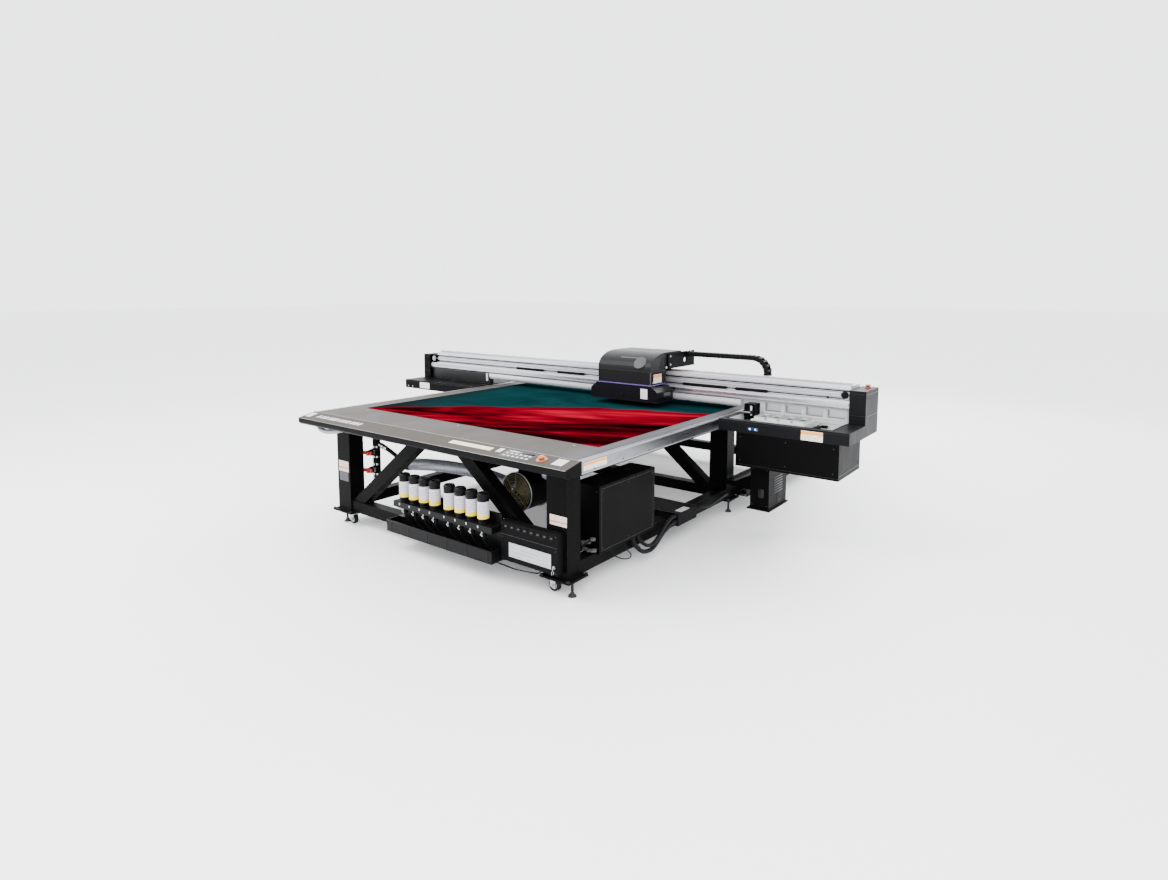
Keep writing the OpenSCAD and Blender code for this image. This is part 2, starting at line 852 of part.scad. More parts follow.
// Cap plate with a sealing ring for each row of heads
module cap_unit() {
    color("#26282c") {
        block(1500, 1880, -190, 0, 812, 846);
        difference() {
            for (i = [0 : 3])
                block(1516 + i * 92, 1588 + i * 92, -170, -20, 846 - eps, 866);
            for (i = [0 : 3])
                block(1522 + i * 92, 1582 + i * 92, -164, -26, 852, 867);
        }
    }
}

// ---- carriage ----

// Side outline of the cover: upright front, rounded brow, flat top
function brow(grow) = [for (a = [180 : -7.5 : 90])
    [20 + (225 - grow) * cos(a), 1135 + (cover_top - 1135 - grow) * sin(a)]];

module carriage_cover() {
    color(charcoal) difference() {
        along_x(cover_x, cover_x + cover_w) polygon(concat(
            [[cover_front, cover_z]], brow(0),
            [[cover_back, cover_top], [cover_back, 1156], [carriage_back, 1156], [carriage_back, cover_z]]));
        along_x(cover_x + shell_t, cover_x + cover_w - shell_t) polygon(concat(
            [[cover_front + shell_t, cover_z - 1]], brow(shell_t),
            [[cover_back - shell_t, cover_top - shell_t], [cover_back - shell_t, 1150],
             [carriage_back + 1, 1150], [carriage_back + 1, cover_z - 1]]));
    }
}

// Coloured strip between the cover and the skirt
module carriage_trim() {
    color("#7b6bb0") difference() {
        block(cover_x - 4, cover_x + cover_w + 4, cover_front - 5, carriage_back, trim_z, cover_z);
        block(cover_x + 4, cover_x + cover_w - 4, cover_front + 3, carriage_back + 1, trim_z - 1, cover_z + 1);
    }
}

module skirt_outline(inset) {
    polygon([[skirt_x0 + inset, skirt_z - inset], [skirt_x0 + inset, 962],
             [cover_x - 8 + inset, trim_z + inset], [cover_x + cover_w + 8 - inset, trim_z + inset],
             [skirt_x1 - inset, 962], [skirt_x1 - inset, skirt_z - inset]]);
}

module carriage_skirt() {
    color("#1d1826") difference() {
        along_y(skirt_front, carriage_back) skirt_outline(0);
        along_y(skirt_front + shell_t, carriage_back + 1) skirt_outline(shell_t);
    }
}

// Back plate with bearing blocks on the beam's two rails and the arm that leads the cable chain
module carriage_frame() {
    color("#3c3d42") {
        block(235, 660, 20, 34, 918, 1149);
        for (x0 = [280, 510])
            block(x0, x0 + 110, 33, 43, 946, 994);
        for (x0 = [280, 510])
            difference() {
                block(x0, x0 + 110, 88, 127, beam_top + 2, 1138);
                block(x0 - 1, x0 + 111, 99, 116, beam_top + 1, beam_top + 16);
            }
        block(250, bracket_x + eps, 20, 240, 1137, 1149);
        difference() {
            block(bracket_x, bracket_x + bracket_t, 30, 440, 1118, 1240);
            rod_x(290, 1172, 22, bracket_x - 1, bracket_x + bracket_t + 1);
        }
    }
}

module uv_lamps() {
    color("#2b2b30") for (x0 = [skirt_x0 + shell_t, skirt_x1 - shell_t - 84])
        difference() {
            block(x0, x0 + 84, -180, 0, skirt_z + 6, 955);
            block(x0 + 20, x0 + 64, -160, -20, skirt_z + 5, skirt_z + 20);
        }
}

// Head plate with four staggered head blocks, lifted together to suit the media's thickness
module print_heads() {
    color("#5d5f66") {
        block(262, 638, -186, 12, 900, 912);
        for (i = [0 : 3])
            block(280 + i * 92, 340 + i * 92, i % 2 == 0 ? -170 : -110, i % 2 == 0 ? -70 : -10,
                  884, 900 + eps);
        for (i = [0 : 3])
            block(276 + i * 92, 344 + i * 92, -160, -20, 912 - eps, 985);
    }
}

// ---- assembly ----

front_frame();
inner_frames();
side_frames();
vacuum_table();
side_covers();
control_panel();
y_rails();
control_cabinet();
cabinet_electronics();
power_box();
cabinet_cables();
ink_tray();
ink_control_box();
blower_housing();
vacuum_hoses();
valve_manifold();
levelling_feet();
table_chain();
gantry_beam();
beam_rails();
beam_lower_covers();
left_tower();
right_tower();
left_arm();
station_body();
station_tray();
station_cover();
drive_box();
gantry_trucks();
x_belt();
x_motor();
chain_tray();
cable_chain();
wiper_housing();
carriage_cover();
carriage_trim();
carriage_skirt();
carriage_frame();
uv_lamps();
print_heads();
wiper_blade();
cap_unit();
left_stop_button();
right_stop_button();
panel_stop_button();
upper_valve_handle();
lower_valve_handle();
blower_impeller();
drive_pulley();
idler_pulley();
ink_bottles_left();
ink_bottles_right();
caster_fork(0);  // caster_fork_1
caster_fork(1);  // caster_fork_2
caster_fork(2);  // caster_fork_3
caster_fork(3);  // caster_fork_4
caster_wheel(0);  // caster_wheel_1
caster_wheel(1);  // caster_wheel_2
caster_wheel(2);  // caster_wheel_3
caster_wheel(3);  // caster_wheel_4
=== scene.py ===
"""Looks of a large flatbed UV printer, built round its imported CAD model. Metres, Z up."""

import math
import random

import bmesh
import bpy
from mathutils import Matrix, Vector


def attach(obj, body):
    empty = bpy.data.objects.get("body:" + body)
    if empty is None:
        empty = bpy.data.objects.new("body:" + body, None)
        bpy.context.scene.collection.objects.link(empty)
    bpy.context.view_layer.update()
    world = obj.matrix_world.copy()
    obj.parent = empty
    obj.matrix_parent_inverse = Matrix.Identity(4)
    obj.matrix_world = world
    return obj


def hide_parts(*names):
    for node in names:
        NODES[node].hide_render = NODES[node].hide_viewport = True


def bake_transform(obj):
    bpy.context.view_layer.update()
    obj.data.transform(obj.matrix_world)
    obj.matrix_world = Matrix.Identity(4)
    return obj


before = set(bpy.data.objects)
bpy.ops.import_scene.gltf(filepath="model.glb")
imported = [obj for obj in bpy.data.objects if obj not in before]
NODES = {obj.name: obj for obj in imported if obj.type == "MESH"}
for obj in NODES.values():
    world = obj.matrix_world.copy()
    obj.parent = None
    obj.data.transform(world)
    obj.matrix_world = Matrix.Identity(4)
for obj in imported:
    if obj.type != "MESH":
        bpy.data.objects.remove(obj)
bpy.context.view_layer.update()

RNG = random.Random(11)
X, Y, Z = Vector((1, 0, 0)), Vector((0, 1, 0)), Vector((0, 0, 1))

# ---- camera ----

CAMERA_AT = (3.5642, -4.7413, 1.7507)
CAMERA_YAW = 37.7
CAMERA_PITCH = 5.8
CAMERA_LENS = 22.03
CAMERA_SHIFT_Y = -0.0686


def make_camera():
    data = bpy.data.cameras.new("camera")
    data.lens = CAMERA_LENS
    data.sensor_width = 36
    data.shift_y = CAMERA_SHIFT_Y
    camera = bpy.data.objects.new("camera", data)
    camera.location = CAMERA_AT
    camera.rotation_euler = (math.radians(90 - CAMERA_PITCH), 0, math.radians(CAMERA_YAW))
    bpy.context.scene.collection.objects.link(camera)
    bpy.context.scene.camera = camera


make_camera()


# ---- materials ----


def shade(color, k):
    return tuple(min(1.0, c * k) for c in color)


class Shader:
    """A Principled material with short calls for the nodes that feed it."""

    def __init__(self, name, metallic=0.0, coat=0.0, coat_rough=0.1, specular=0.5):
        self.mat = bpy.data.materials.new(name)
        self.mat.use_nodes = True
        self.tree = self.mat.node_tree
        self.bsdf = self.tree.nodes["Principled BSDF"]
        self.bsdf.inputs["Metallic"].default_value = metallic
        self.bsdf.inputs["Coat Weight"].default_value = coat
        self.bsdf.inputs["Coat Roughness"].default_value = coat_rough
        self.bsdf.inputs["Specular IOR Level"].default_value = specular
        coords = self.node("ShaderNodeTexCoord")
        self.point = coords.outputs["Object"]
        self.uv = coords.outputs["UV"]
        self.geometry = self.node("ShaderNodeNewGeometry")

    def node(self, kind, **props):
        made = self.tree.nodes.new(kind)
        for key, value in props.items():
            setattr(made, key, value)
        return made

    def put(self, socket, value):
        if isinstance(value, bpy.types.NodeSocket):
            self.tree.links.new(value, socket)
        elif isinstance(value, (int, float)):
            socket.default_value = value
        else:
            socket.default_value = tuple(value) + (1.0,) * (len(socket.default_value) - len(value))

    def math(self, operation, a, b=0.0, clamp=False):
        made = self.node("ShaderNodeMath", operation=operation, use_clamp=clamp)
        self.put(made.inputs[0], a)
        self.put(made.inputs[1], b)
        return made.outputs[0]

    def scaled(self, scale, point=None):
        made = self.node("ShaderNodeVectorMath", operation="MULTIPLY")
        self.put(made.inputs[0], point or self.point)
        self.put(made.inputs[1], scale)
        return made.outputs[0]

    def axis(self, which, point=None):
        made = self.node("ShaderNodeSeparateXYZ")
        self.put(made.inputs[0], point or self.point)
        return made.outputs[which]

    def noise(self, scale, detail=3.0, roughness=0.55, point=None, warp=0.0):
        made = self.node("ShaderNodeTexNoise")
        self.put(made.inputs["Vector"], point or self.point)
        self.put(made.inputs["Scale"], scale)
        self.put(made.inputs["Detail"], detail)
        self.put(made.inputs["Roughness"], roughness)
        self.put(made.inputs["Distortion"], warp)
        return made.outputs["Fac"]

    def span(self, value, low, high):
        """0 at low, 1 at high, smoothly between them."""
        made = self.node("ShaderNodeMapRange", interpolation_type="SMOOTHSTEP")
        self.put(made.inputs["Value"], value)
        self.put(made.inputs["From Min"], low)
        self.put(made.inputs["From Max"], high)
        return made.outputs["Result"]

    def ramp(self, fac, stops):
        made = self.node("ShaderNodeValToRGB")
        self.put(made.inputs[0], fac)
        elements = made.color_ramp.elements
        while len(elements) < len(stops):
            elements.new(0.5)
        for element, (place, color) in zip(elements, stops):
            element.position = place
            element.color = tuple(color) + (1.0,)
        return made.outputs[0]

    def mix(self, fac, a, b):
        made = self.node("ShaderNodeMix", data_type="RGBA")
        self.put(made.inputs[0], fac)
        self.put(made.inputs[6], a)
        self.put(made.inputs[7], b)
        return made.outputs[2]

    def rounded(self, radius):
        made = self.node("ShaderNodeBevel", samples=4)
        made.inputs["Radius"].default_value = radius
        return made.outputs[0]

    def bump(self, height, distance, strength=1.0, normal=None):
        made = self.node("ShaderNodeBump")
        self.put(made.inputs["Height"], height)
        self.put(made.inputs["Distance"], distance)
        self.put(made.inputs["Strength"], strength)
        if normal is not None:
            self.put(made.inputs["Normal"], normal)
        return made.outputs[0]

    def edges(self, rounded):
        """About 1 along edges and 0 on flats, from how far the rounded normal turns."""
        made = self.node("ShaderNodeVectorMath", operation="DOT_PRODUCT")
        self.put(made.inputs[0], rounded)
        self.put(made.inputs[1], self.geometry.outputs["True Normal"])
        return self.span(made.outputs["Value"], 0.985, 0.86)

    def facing_up(self):
        return self.axis(2, self.geometry.outputs["Normal"])

    def done(self, color, roughness, normal=None):
        self.put(self.bsdf.inputs["Base Color"], color)
        self.put(self.bsdf.inputs["Roughness"], roughness)
        if normal is not None:
            self.put(self.bsdf.inputs["Normal"], normal)
        return self.mat


def coated(name, color, rough=0.5, grain=0.00005, grain_scale=1300, mottle=0.14, wear=0.35,
           dust=0.12, edge=0.0025, tint=None, specular=0.3, **fixed):
    """Paint, powder coat or moulded plastic: fine grain, slow colour drift, worn edges, dust."""
    s = Shader(name, specular=specular, **fixed)
    fine = s.noise(grain_scale, 2.0)
    broad = s.noise(2.1, 4.0)
    base = s.mix(broad, shade(color, 1 - mottle), shade(color, 1 + mottle))
    base = s.mix(s.math("MULTIPLY", fine, 0.3), base, shade(color, 1.9))
    if tint:
        base = tint(s, base)
    smooth = s.rounded(edge)
    patches = s.span(s.noise(17.0, 4.0, 0.7), 0.42, 0.66)
    worn = s.math("MULTIPLY", s.math("MULTIPLY", s.edges(smooth), patches), wear)
    base = s.mix(worn, base, tuple(0.03 + 0.95 * c for c in color))
    settled = s.math("MULTIPLY", s.span(s.facing_up(), 0.55, 0.98), s.noise(5.0, 5.0, 0.65))
    base = s.mix(s.math("MULTIPLY", settled, dust), base, (0.13, 0.125, 0.12))
    smears = s.noise(7.0, 5.0, 0.6, s.scaled((1.0, 1.0, 0.35)), 0.6)
    roughness = s.math("ADD", s.math("MULTIPLY", smears, 0.22), rough - 0.11)
    return s.done(base, s.math("SUBTRACT", roughness, s.math("MULTIPLY", worn, 0.12)),
                  s.bump(fine, grain, 1.0, smooth))


def brushed(name, color, along, rough=0.3, streak=0.12, stain=0.0, edge=0.0015, tint=None,
            metallic=1.0, depth=0.00002):
    """Metal with a grain that runs along one axis, in streaks and slow patches, with a painted highlight along its
    edges.
    """
    s = Shader(name, metallic)
    hair = [420.0, 420.0, 420.0]
    band = [26.0, 26.0, 26.0]
    hair[along] = 5.0
    band[along] = 0.7
    grain = s.noise(1.0, 3.0, 0.6, s.scaled(hair))
    bands = s.noise(1.0, 4.0, 0.6, s.scaled(band), 0.3)
    base = s.mix(grain, shade(color, 1 - streak), shade(color, 1 + streak))
    base = s.mix(s.math("MULTIPLY", s.span(bands, 0.45, 0.75), 0.5), base, shade(color, 0.72))
    if stain:
        spots = s.span(s.noise(3.2, 6.0, 0.7, s.scaled((1.0, 0.8, 3.0)), 1.2), 0.5, 0.72)
        base = s.mix(s.math("MULTIPLY", spots, stain), base, shade(color, 0.35))
    if tint:
        base = tint(s, base)
    smooth = s.rounded(edge)
    # Painted highlight: every edge is mixed lighter than the flats.
    base = s.mix(s.math("MULTIPLY", s.edges(smooth), 0.5), base, shade(color, 1.35))
    roughness = s.math("ADD", s.math("MULTIPLY", grain, 0.16), s.math("MULTIPLY", bands, 0.12))
    return s.done(base, s.math("ADD", roughness, rough - 0.14), s.bump(grain, depth, 1.0, smooth))


def clear_part(name, color, rough=0.35):
    """Pale sheet plastic with faint scuffs."""
    s = Shader(name, 0.0, coat=0.25, coat_rough=0.2)
    scuffs = s.noise(60.0, 5.0, 0.7, s.scaled((1.0, 1.0, 4.0)), 1.0)
    broad = s.noise(4.0, 4.0)
    base = s.mix(broad, shade(color, 0.86), shade(color, 1.08))
    base = s.mix(s.math("MULTIPLY", s.span(scuffs, 0.55, 0.8), 0.25), base, shade(color, 0.7))
    return s.done(base, s.math("ADD", s.math("MULTIPLY", scuffs, 0.25), rough - 0.1),
                  s.bump(scuffs, 0.00006, 1.0, s.rounded(0.002)))


def glow(name, color, power):
    s = Shader(name)
    s.bsdf.inputs["Emission Color"].default_value = tuple(color) + (1.0,)
    s.bsdf.inputs["Emission Strength"].default_value = power
    return s.done(color, s.math("MULTIPLY", s.noise(90.0), 0.4))


# Table top: warm grey at the front, cooler and lighter along the right edge, with suction holes
HOLE_PITCH = 0.05
HOLE_R = 0.0012
BED_FRONT, BED_RIGHT = -1.815, 1.25


def bed_tint(s, base):
    right = s.span(s.axis(0), 1.02, BED_RIGHT)
    cool = s.mix(s.noise(1.6, 5.0, 0.6, s.scaled((4.0, 1.0, 1.0)), 1.0), (0.020, 0.020, 0.025),
                 (0.090, 0.090, 0.102))
    return s.mix(right, base, cool)


def bed_material():
    s = Shader("bed_top", 0.0, specular=0.05)
    fine = s.noise(900.0, 2.0)
    broad = s.noise(1.3, 4.0)
    base = s.mix(broad, (0.029, 0.025, 0.021), (0.050, 0.044, 0.038))
    base = bed_tint(s, base)
    base = s.mix(s.math("MULTIPLY", fine, 0.2), base, (0.13, 0.12, 0.11))
    cell = s.node("ShaderNodeVectorMath", operation="MODULO")
    shifted = s.node("ShaderNodeVectorMath", operation="ADD")
    s.put(shifted.inputs[0], s.point)
    s.put(shifted.inputs[1], (5.0, 5.0, 0.0))
    s.put(cell.inputs[0], shifted.outputs[0])
    s.put(cell.inputs[1], (HOLE_PITCH, HOLE_PITCH, 50.0))
    centred = s.node("ShaderNodeVectorMath", operation="SUBTRACT")
    s.put(centred.inputs[0], s.scaled((1.0, 1.0, 0.0), cell.outputs[0]))
    s.put(centred.inputs[1], (HOLE_PITCH / 2, HOLE_PITCH / 2, 0.0))
    far = s.node("ShaderNodeVectorMath", operation="LENGTH")
    s.put(far.inputs[0], centred.outputs[0])
    hole = s.span(far.outputs["Value"], HOLE_R * 1.25, HOLE_R * 0.8)
    hole = s.math("MULTIPLY", hole, s.span(s.axis(1), BED_FRONT + 0.12, BED_FRONT + 0.13))
    hole = s.math("MULTIPLY", hole, s.span(s.facing_up(), 0.9, 0.95))
    base = s.mix(hole, base, (0.01, 0.01, 0.01))
    smears = s.noise(2.4, 6.0, 0.65, s.scaled((1.0, 0.4, 1.0)), 1.4)
    roughness = s.math("ADD", s.math("MULTIPLY", smears, 0.25), 0.33)
    height = s.math("SUBTRACT", s.math("MULTIPLY", fine, 0.1), hole)
    return s.done(base, roughness, s.bump(height, 0.0004, 1.0, s.rounded(0.002)))


# Print: a red drapery of broad folds below a deep teal ground
FOLD_LINE = (-0.80, 0.66)


def artwork_material():
    s = Shader("printed_sheet", 0.0, specular=0.0)
    x, y = s.axis(0), s.axis(1)
    swell = s.math("MULTIPLY", s.math("SINE", s.math("MULTIPLY", s.math("ADD", x, 1.15), 1.45)), 0.20)
    slope = s.math("ADD", s.math("MULTIPLY", x, FOLD_LINE[1]), FOLD_LINE[0] - 0.05)
    sway = s.math("MULTIPLY", s.math("SUBTRACT", s.noise(2.6, 2.0, 0.5), 0.5), 0.22)
    line = s.math("ADD", s.math("ADD", slope, swell), sway)
    above = s.math("SUBTRACT", y, line)
    cloth = s.span(above, 0.035, -0.015)
    turn = s.node("ShaderNodeVectorRotate", rotation_type="Z_AXIS")
    s.put(turn.inputs["Vector"], s.point)
    s.put(turn.inputs["Angle"], math.radians(-24))
    along = s.scaled((0.62, 3.1, 1.0), turn.outputs[0])
    folds = s.noise(1.15, 2.4, 0.5, along, 1.5)
    ripples = s.noise(3.2, 3.0, 0.55, along, 0.8)
    light = s.math("ADD", s.math("MULTIPLY", folds, 0.80), s.math("MULTIPLY", ripples, 0.20))
    light = s.math("ADD", light, s.math("MULTIPLY", s.span(above, -0.75, -0.05), 0.07))
    light = s.math("ADD", light, s.math("MULTIPLY", s.span(x, -0.9, -0.1), 0.05))
    red = s.ramp(light, [(0.43, (0.0014, 0.0, 0.0002)), (0.51, (0.010, 0.0, 0.0008)),
                         (0.585, (0.042, 0.0, 0.0022)), (0.68, (0.115, 0.0, 0.0055)),
                         (0.80, (0.21, 0.001, 0.011))])
    haze = s.noise(1.1, 4.0, 0.6, warp=0.6)
    teal = s.ramp(haze, [(0.30, (0.0012, 0.0095, 0.011)), (0.52, (0.0028, 0.021, 0.023)),
                         (0.75, (0.0070, 0.033, 0.036))])
    dim = s.span(s.math("ADD", x, s.math("MULTIPLY", y, 0.25)), -0.75, -1.35)
    teal = s.mix(s.math("MULTIPLY", dim, 0.85), teal, (0.004, 0.005, 0.006))
    rim = s.math("MULTIPLY", s.span(above, -0.11, -0.02), s.span(above, 0.03, -0.01))
    red = s.mix(s.math("MULTIPLY", rim, 0.55), red, (0.11, 0.0, 0.0050))
    color = s.mix(cloth, teal, red)
    speck = s.noise(1500.0, 1.0)
    return s.done(color, s.math("ADD", s.math("MULTIPLY", speck, 0.12), 0.36),
                  s.bump(speck, 0.00003))


def label_material(name, ground, bar, accent=None, accent_at=(0.0, 0.0), rows=5.0, run=9.0,
                   ink=0.75):
    """A printed label: ground colour, a plain colour band and rows of blank bars, no lettering."""
    s = Shader(name, 0.0, specular=0.1)
    u, v = s.axis(0, s.uv), s.axis(1, s.uv)
    row = s.math("FRACT", s.math("MULTIPLY", v, rows))
    in_row = s.math("MULTIPLY", s.math("GREATER_THAN", row, 0.42), s.math("LESS_THAN", row, 0.74))
    steps = s.node("ShaderNodeCombineXYZ")
    s.put(steps.inputs[0], s.math("FLOOR", s.math("MULTIPLY", u, run)))
    s.put(steps.inputs[1], s.math("FLOOR", s.math("MULTIPLY", v, rows)))
    white = s.node("ShaderNodeTexWhiteNoise")
    s.put(white.inputs["Vector"], steps.outputs[0])
    printed = s.math("MULTIPLY", in_row, s.math("GREATER_THAN", white.outputs["Value"], 0.34))
    for edge, low, high in ((u, 0.07, 0.93), (v, 0.10, 0.90)):
        inside = s.math("MULTIPLY", s.math("GREATER_THAN", edge, low), s.math("LESS_THAN", edge, high))
        printed = s.math("MULTIPLY", printed, inside)
    soil = s.noise(30.0, 4.0)
    base = s.mix(soil, shade(ground, 0.86), shade(ground, 1.05))
    if accent:
        band = s.math("MULTIPLY", s.math("GREATER_THAN", v, accent_at[0]),
                      s.math("LESS_THAN", v, accent_at[1]))
        base = s.mix(band, base, accent)
        printed = s.math("MULTIPLY", printed, s.math("SUBTRACT", 1.0, band))
    base = s.mix(s.math("MULTIPLY", printed, ink), base, bar)
    return s.done(base, s.math("ADD", s.math("MULTIPLY", soil, 0.2), 0.3),
                  s.bump(soil, 0.00004))


BLACK = (0.0010, 0.0010, 0.0011)


def black_where_not_up(dark=BLACK):
    def tint(s, base):
        return s.mix(s.span(s.facing_up(), 0.9, 0.95), dark, base)
    return tint


def dark_left_of(x, dark):
    def tint(s, base):
        return s.mix(s.span(s.axis(0), x + 0.001, x), base, dark)
    return tint


def lighter_above(z, k, blur=0.004):
    def tint(s, base):
        bright = s.mix(0.5, base, (k, k, k * 1.02))
        return s.mix(s.span(s.axis(2), z - blur, z + blur), base, bright)
    return tint


M = {
    "frame": coated("black_frame", BLACK, 0.46, wear=0.4, dust=0.03, specular=0.03),
    "cover": coated("black_cover", BLACK, 0.42, wear=0.35, dust=0.03, specular=0.03),
    "box": coated("dark_cover", (0.0018, 0.0018, 0.0020), 0.5, wear=0.4, dust=0.04, specular=0.035),
    "lid": coated("supply_box", (0.0018, 0.0018, 0.0021), 0.5, wear=0.5, dust=0.06, specular=0.035),
    "charcoal": coated("charcoal_cover", (0.0030, 0.0030, 0.0036), 0.42, grain=0.00008, wear=0.4,
                       dust=0.06, specular=0.06),
    "carriage": coated("carriage_cover", (0.0040, 0.0040, 0.0050), 0.36, grain=0.00005, wear=0.3,
                       dust=0.04, tint=lighter_above(1.1105, 0.013), specular=0.09),
    "skirt": coated("skirt_plastic", (0.0018, 0.0018, 0.0030), 0.32, wear=0.3, dust=0.03,
                    specular=0.08),
    "violet": coated("violet_trim", (0.085, 0.05, 0.22), 0.25, mottle=0.08, wear=0.2, coat=0.3),
    "panel": coated("panel_grey", (0.046, 0.040, 0.034), 0.5, grain=0.00004, mottle=0.12,
                    wear=0.4, dust=0.06, tint=black_where_not_up(), specular=0.05),
    "bed": bed_material(),
    "side": brushed("brushed_cover", (0.22, 0.22, 0.24), 1, 0.30, 0.20, stain=0.8),
    "beam": brushed("beam_aluminium", (0.58, 0.58, 0.62), 0, 0.34, 0.10, metallic=0.75),
    "low_cover": brushed("beam_lower_cover", (0.66, 0.66, 0.68), 0, 0.36, 0.06,
                         metallic=0.5, tint=dark_left_of(-1.29, BLACK)),
    "rail": brushed("rail_steel", (0.40, 0.40, 0.42), 0, 0.22),
    "side_rail": brushed("side_rail_steel", (0.50, 0.50, 0.52), 1, 0.22),
    "steel": brushed("machined_steel", (0.30, 0.30, 0.31), 2, 0.32),
    "zinc": brushed("zinc_plate", (0.36, 0.36, 0.37), 2, 0.28),
    "plate": brushed("silver_plate", (0.30, 0.30, 0.31), 0, 0.38, metallic=0.7),
    "bolt": brushed("black_bolt", (0.010, 0.010, 0.011), 2, 0.35, metallic=0.6),
    "liner": clear_part("pale_liner", (0.42, 0.44, 0.43)),
    "rubber": coated("black_rubber", (0.003, 0.003, 0.003), 0.7, grain=0.0001, wear=0.0, dust=0.06,
                     specular=0.04),
    "tyre": coated("caster_tyre", (0.005, 0.005, 0.005), 0.65, grain=0.0001, dust=0.2, specular=0.1),
    "chain": coated("chain_plastic", (0.0022, 0.0022, 0.0025), 0.42, wear=0.4, dust=0.04,
                    specular=0.06),
    "cable": coated("cable_jacket", (0.0022, 0.0022, 0.0025), 0.45, grain_scale=700, wear=0.0,
                    dust=0.04, specular=0.08),
    "hose": brushed("hose_silver", (0.25, 0.26, 0.29), 0, 0.36, 0.18, metallic=0.55),
    "red": coated("stop_red", (0.52, 0.030, 0.010), 0.3, mottle=0.06, wear=0.2, coat=0.6),
    "orange": coated("stop_orange", (0.30, 0.060, 0.004), 0.32, mottle=0.06, wear=0.15, coat=0.5),
    "peach": coated("stop_face", (0.34, 0.090, 0.012), 0.32, mottle=0.08, wear=0.1, coat=0.5),
    "valve": coated("valve_red", (0.19, 0.002, 0.002), 0.35, mottle=0.08, wear=0.3, coat=0.4),
    "bronze": coated("impeller_bronze", (0.085, 0.070, 0.032), 0.45, mottle=0.3, wear=0.5),
    "olive": brushed("guard_wire", (0.16, 0.145, 0.085), 2, 0.4, metallic=0.7),
    "board": coated("circuit_board", (0.02, 0.11, 0.05), 0.4, wear=0.1),
    "head": brushed("head_metal", (0.30, 0.30, 0.32), 0, 0.35),
    "bottle": coated("bottle_black", (0.0016, 0.0016, 0.0018), 0.32, wear=0.2, dust=0.03,
                     specular=0.09),
    "grey": coated("grey_plastic", (0.050, 0.050, 0.050), 0.4, specular=0.1),
    "white": coated("white_plastic", (0.42, 0.42, 0.41), 0.4, mottle=0.04, wear=0.0, dust=0.05),
    "art": artwork_material(),
    "blue_light": glow("blue_light", (0.25, 0.50, 1.0), 1.6),
    "blue_glow": glow("blue_window", (0.004, 0.012, 0.040), 0.3),
    "green_light": glow("green_light", (0.1, 0.7, 0.25), 1.0),
    "label_white": label_material("label_white", (0.62, 0.60, 0.58), (0.20, 0.20, 0.21)),
    "label_cream": label_material("label_cream", (0.74, 0.63, 0.50), (0.50, 0.38, 0.26),
                                  rows=3.0, run=26.0, ink=0.4),
    "label_warn": label_material("label_orange_band", (0.66, 0.60, 0.52), (0.20, 0.18, 0.16),
                                 (0.72, 0.27, 0.035), (0.62, 0.95)),
    "label_blush": label_material("label_blush", (0.58, 0.47, 0.42), (0.34, 0.12, 0.09),
                                  (0.50, 0.14, 0.07), (0.30, 0.42), rows=6.0),
    "label_silver": label_material("label_silver", (0.065, 0.065, 0.072), (0.03, 0.03, 0.034),
                                   rows=7.0),
    "label_plate": label_material("label_plate", (0.36, 0.37, 0.38), (0.17, 0.17, 0.18),
                                  rows=4.0, run=7.0, ink=0.5),
    "label_ink": label_material("label_bottle", (0.46, 0.45, 0.50), (0.14, 0.11, 0.20),
                                (0.62, 0.46, 0.03), (0.0, 0.24), rows=7.0, run=14.0, ink=0.6),
}


# ---- mesh pieces ----


def turned_to(direction):
    return Vector(direction).normalized().to_track_quat("Z", "Y").to_matrix().to_4x4()


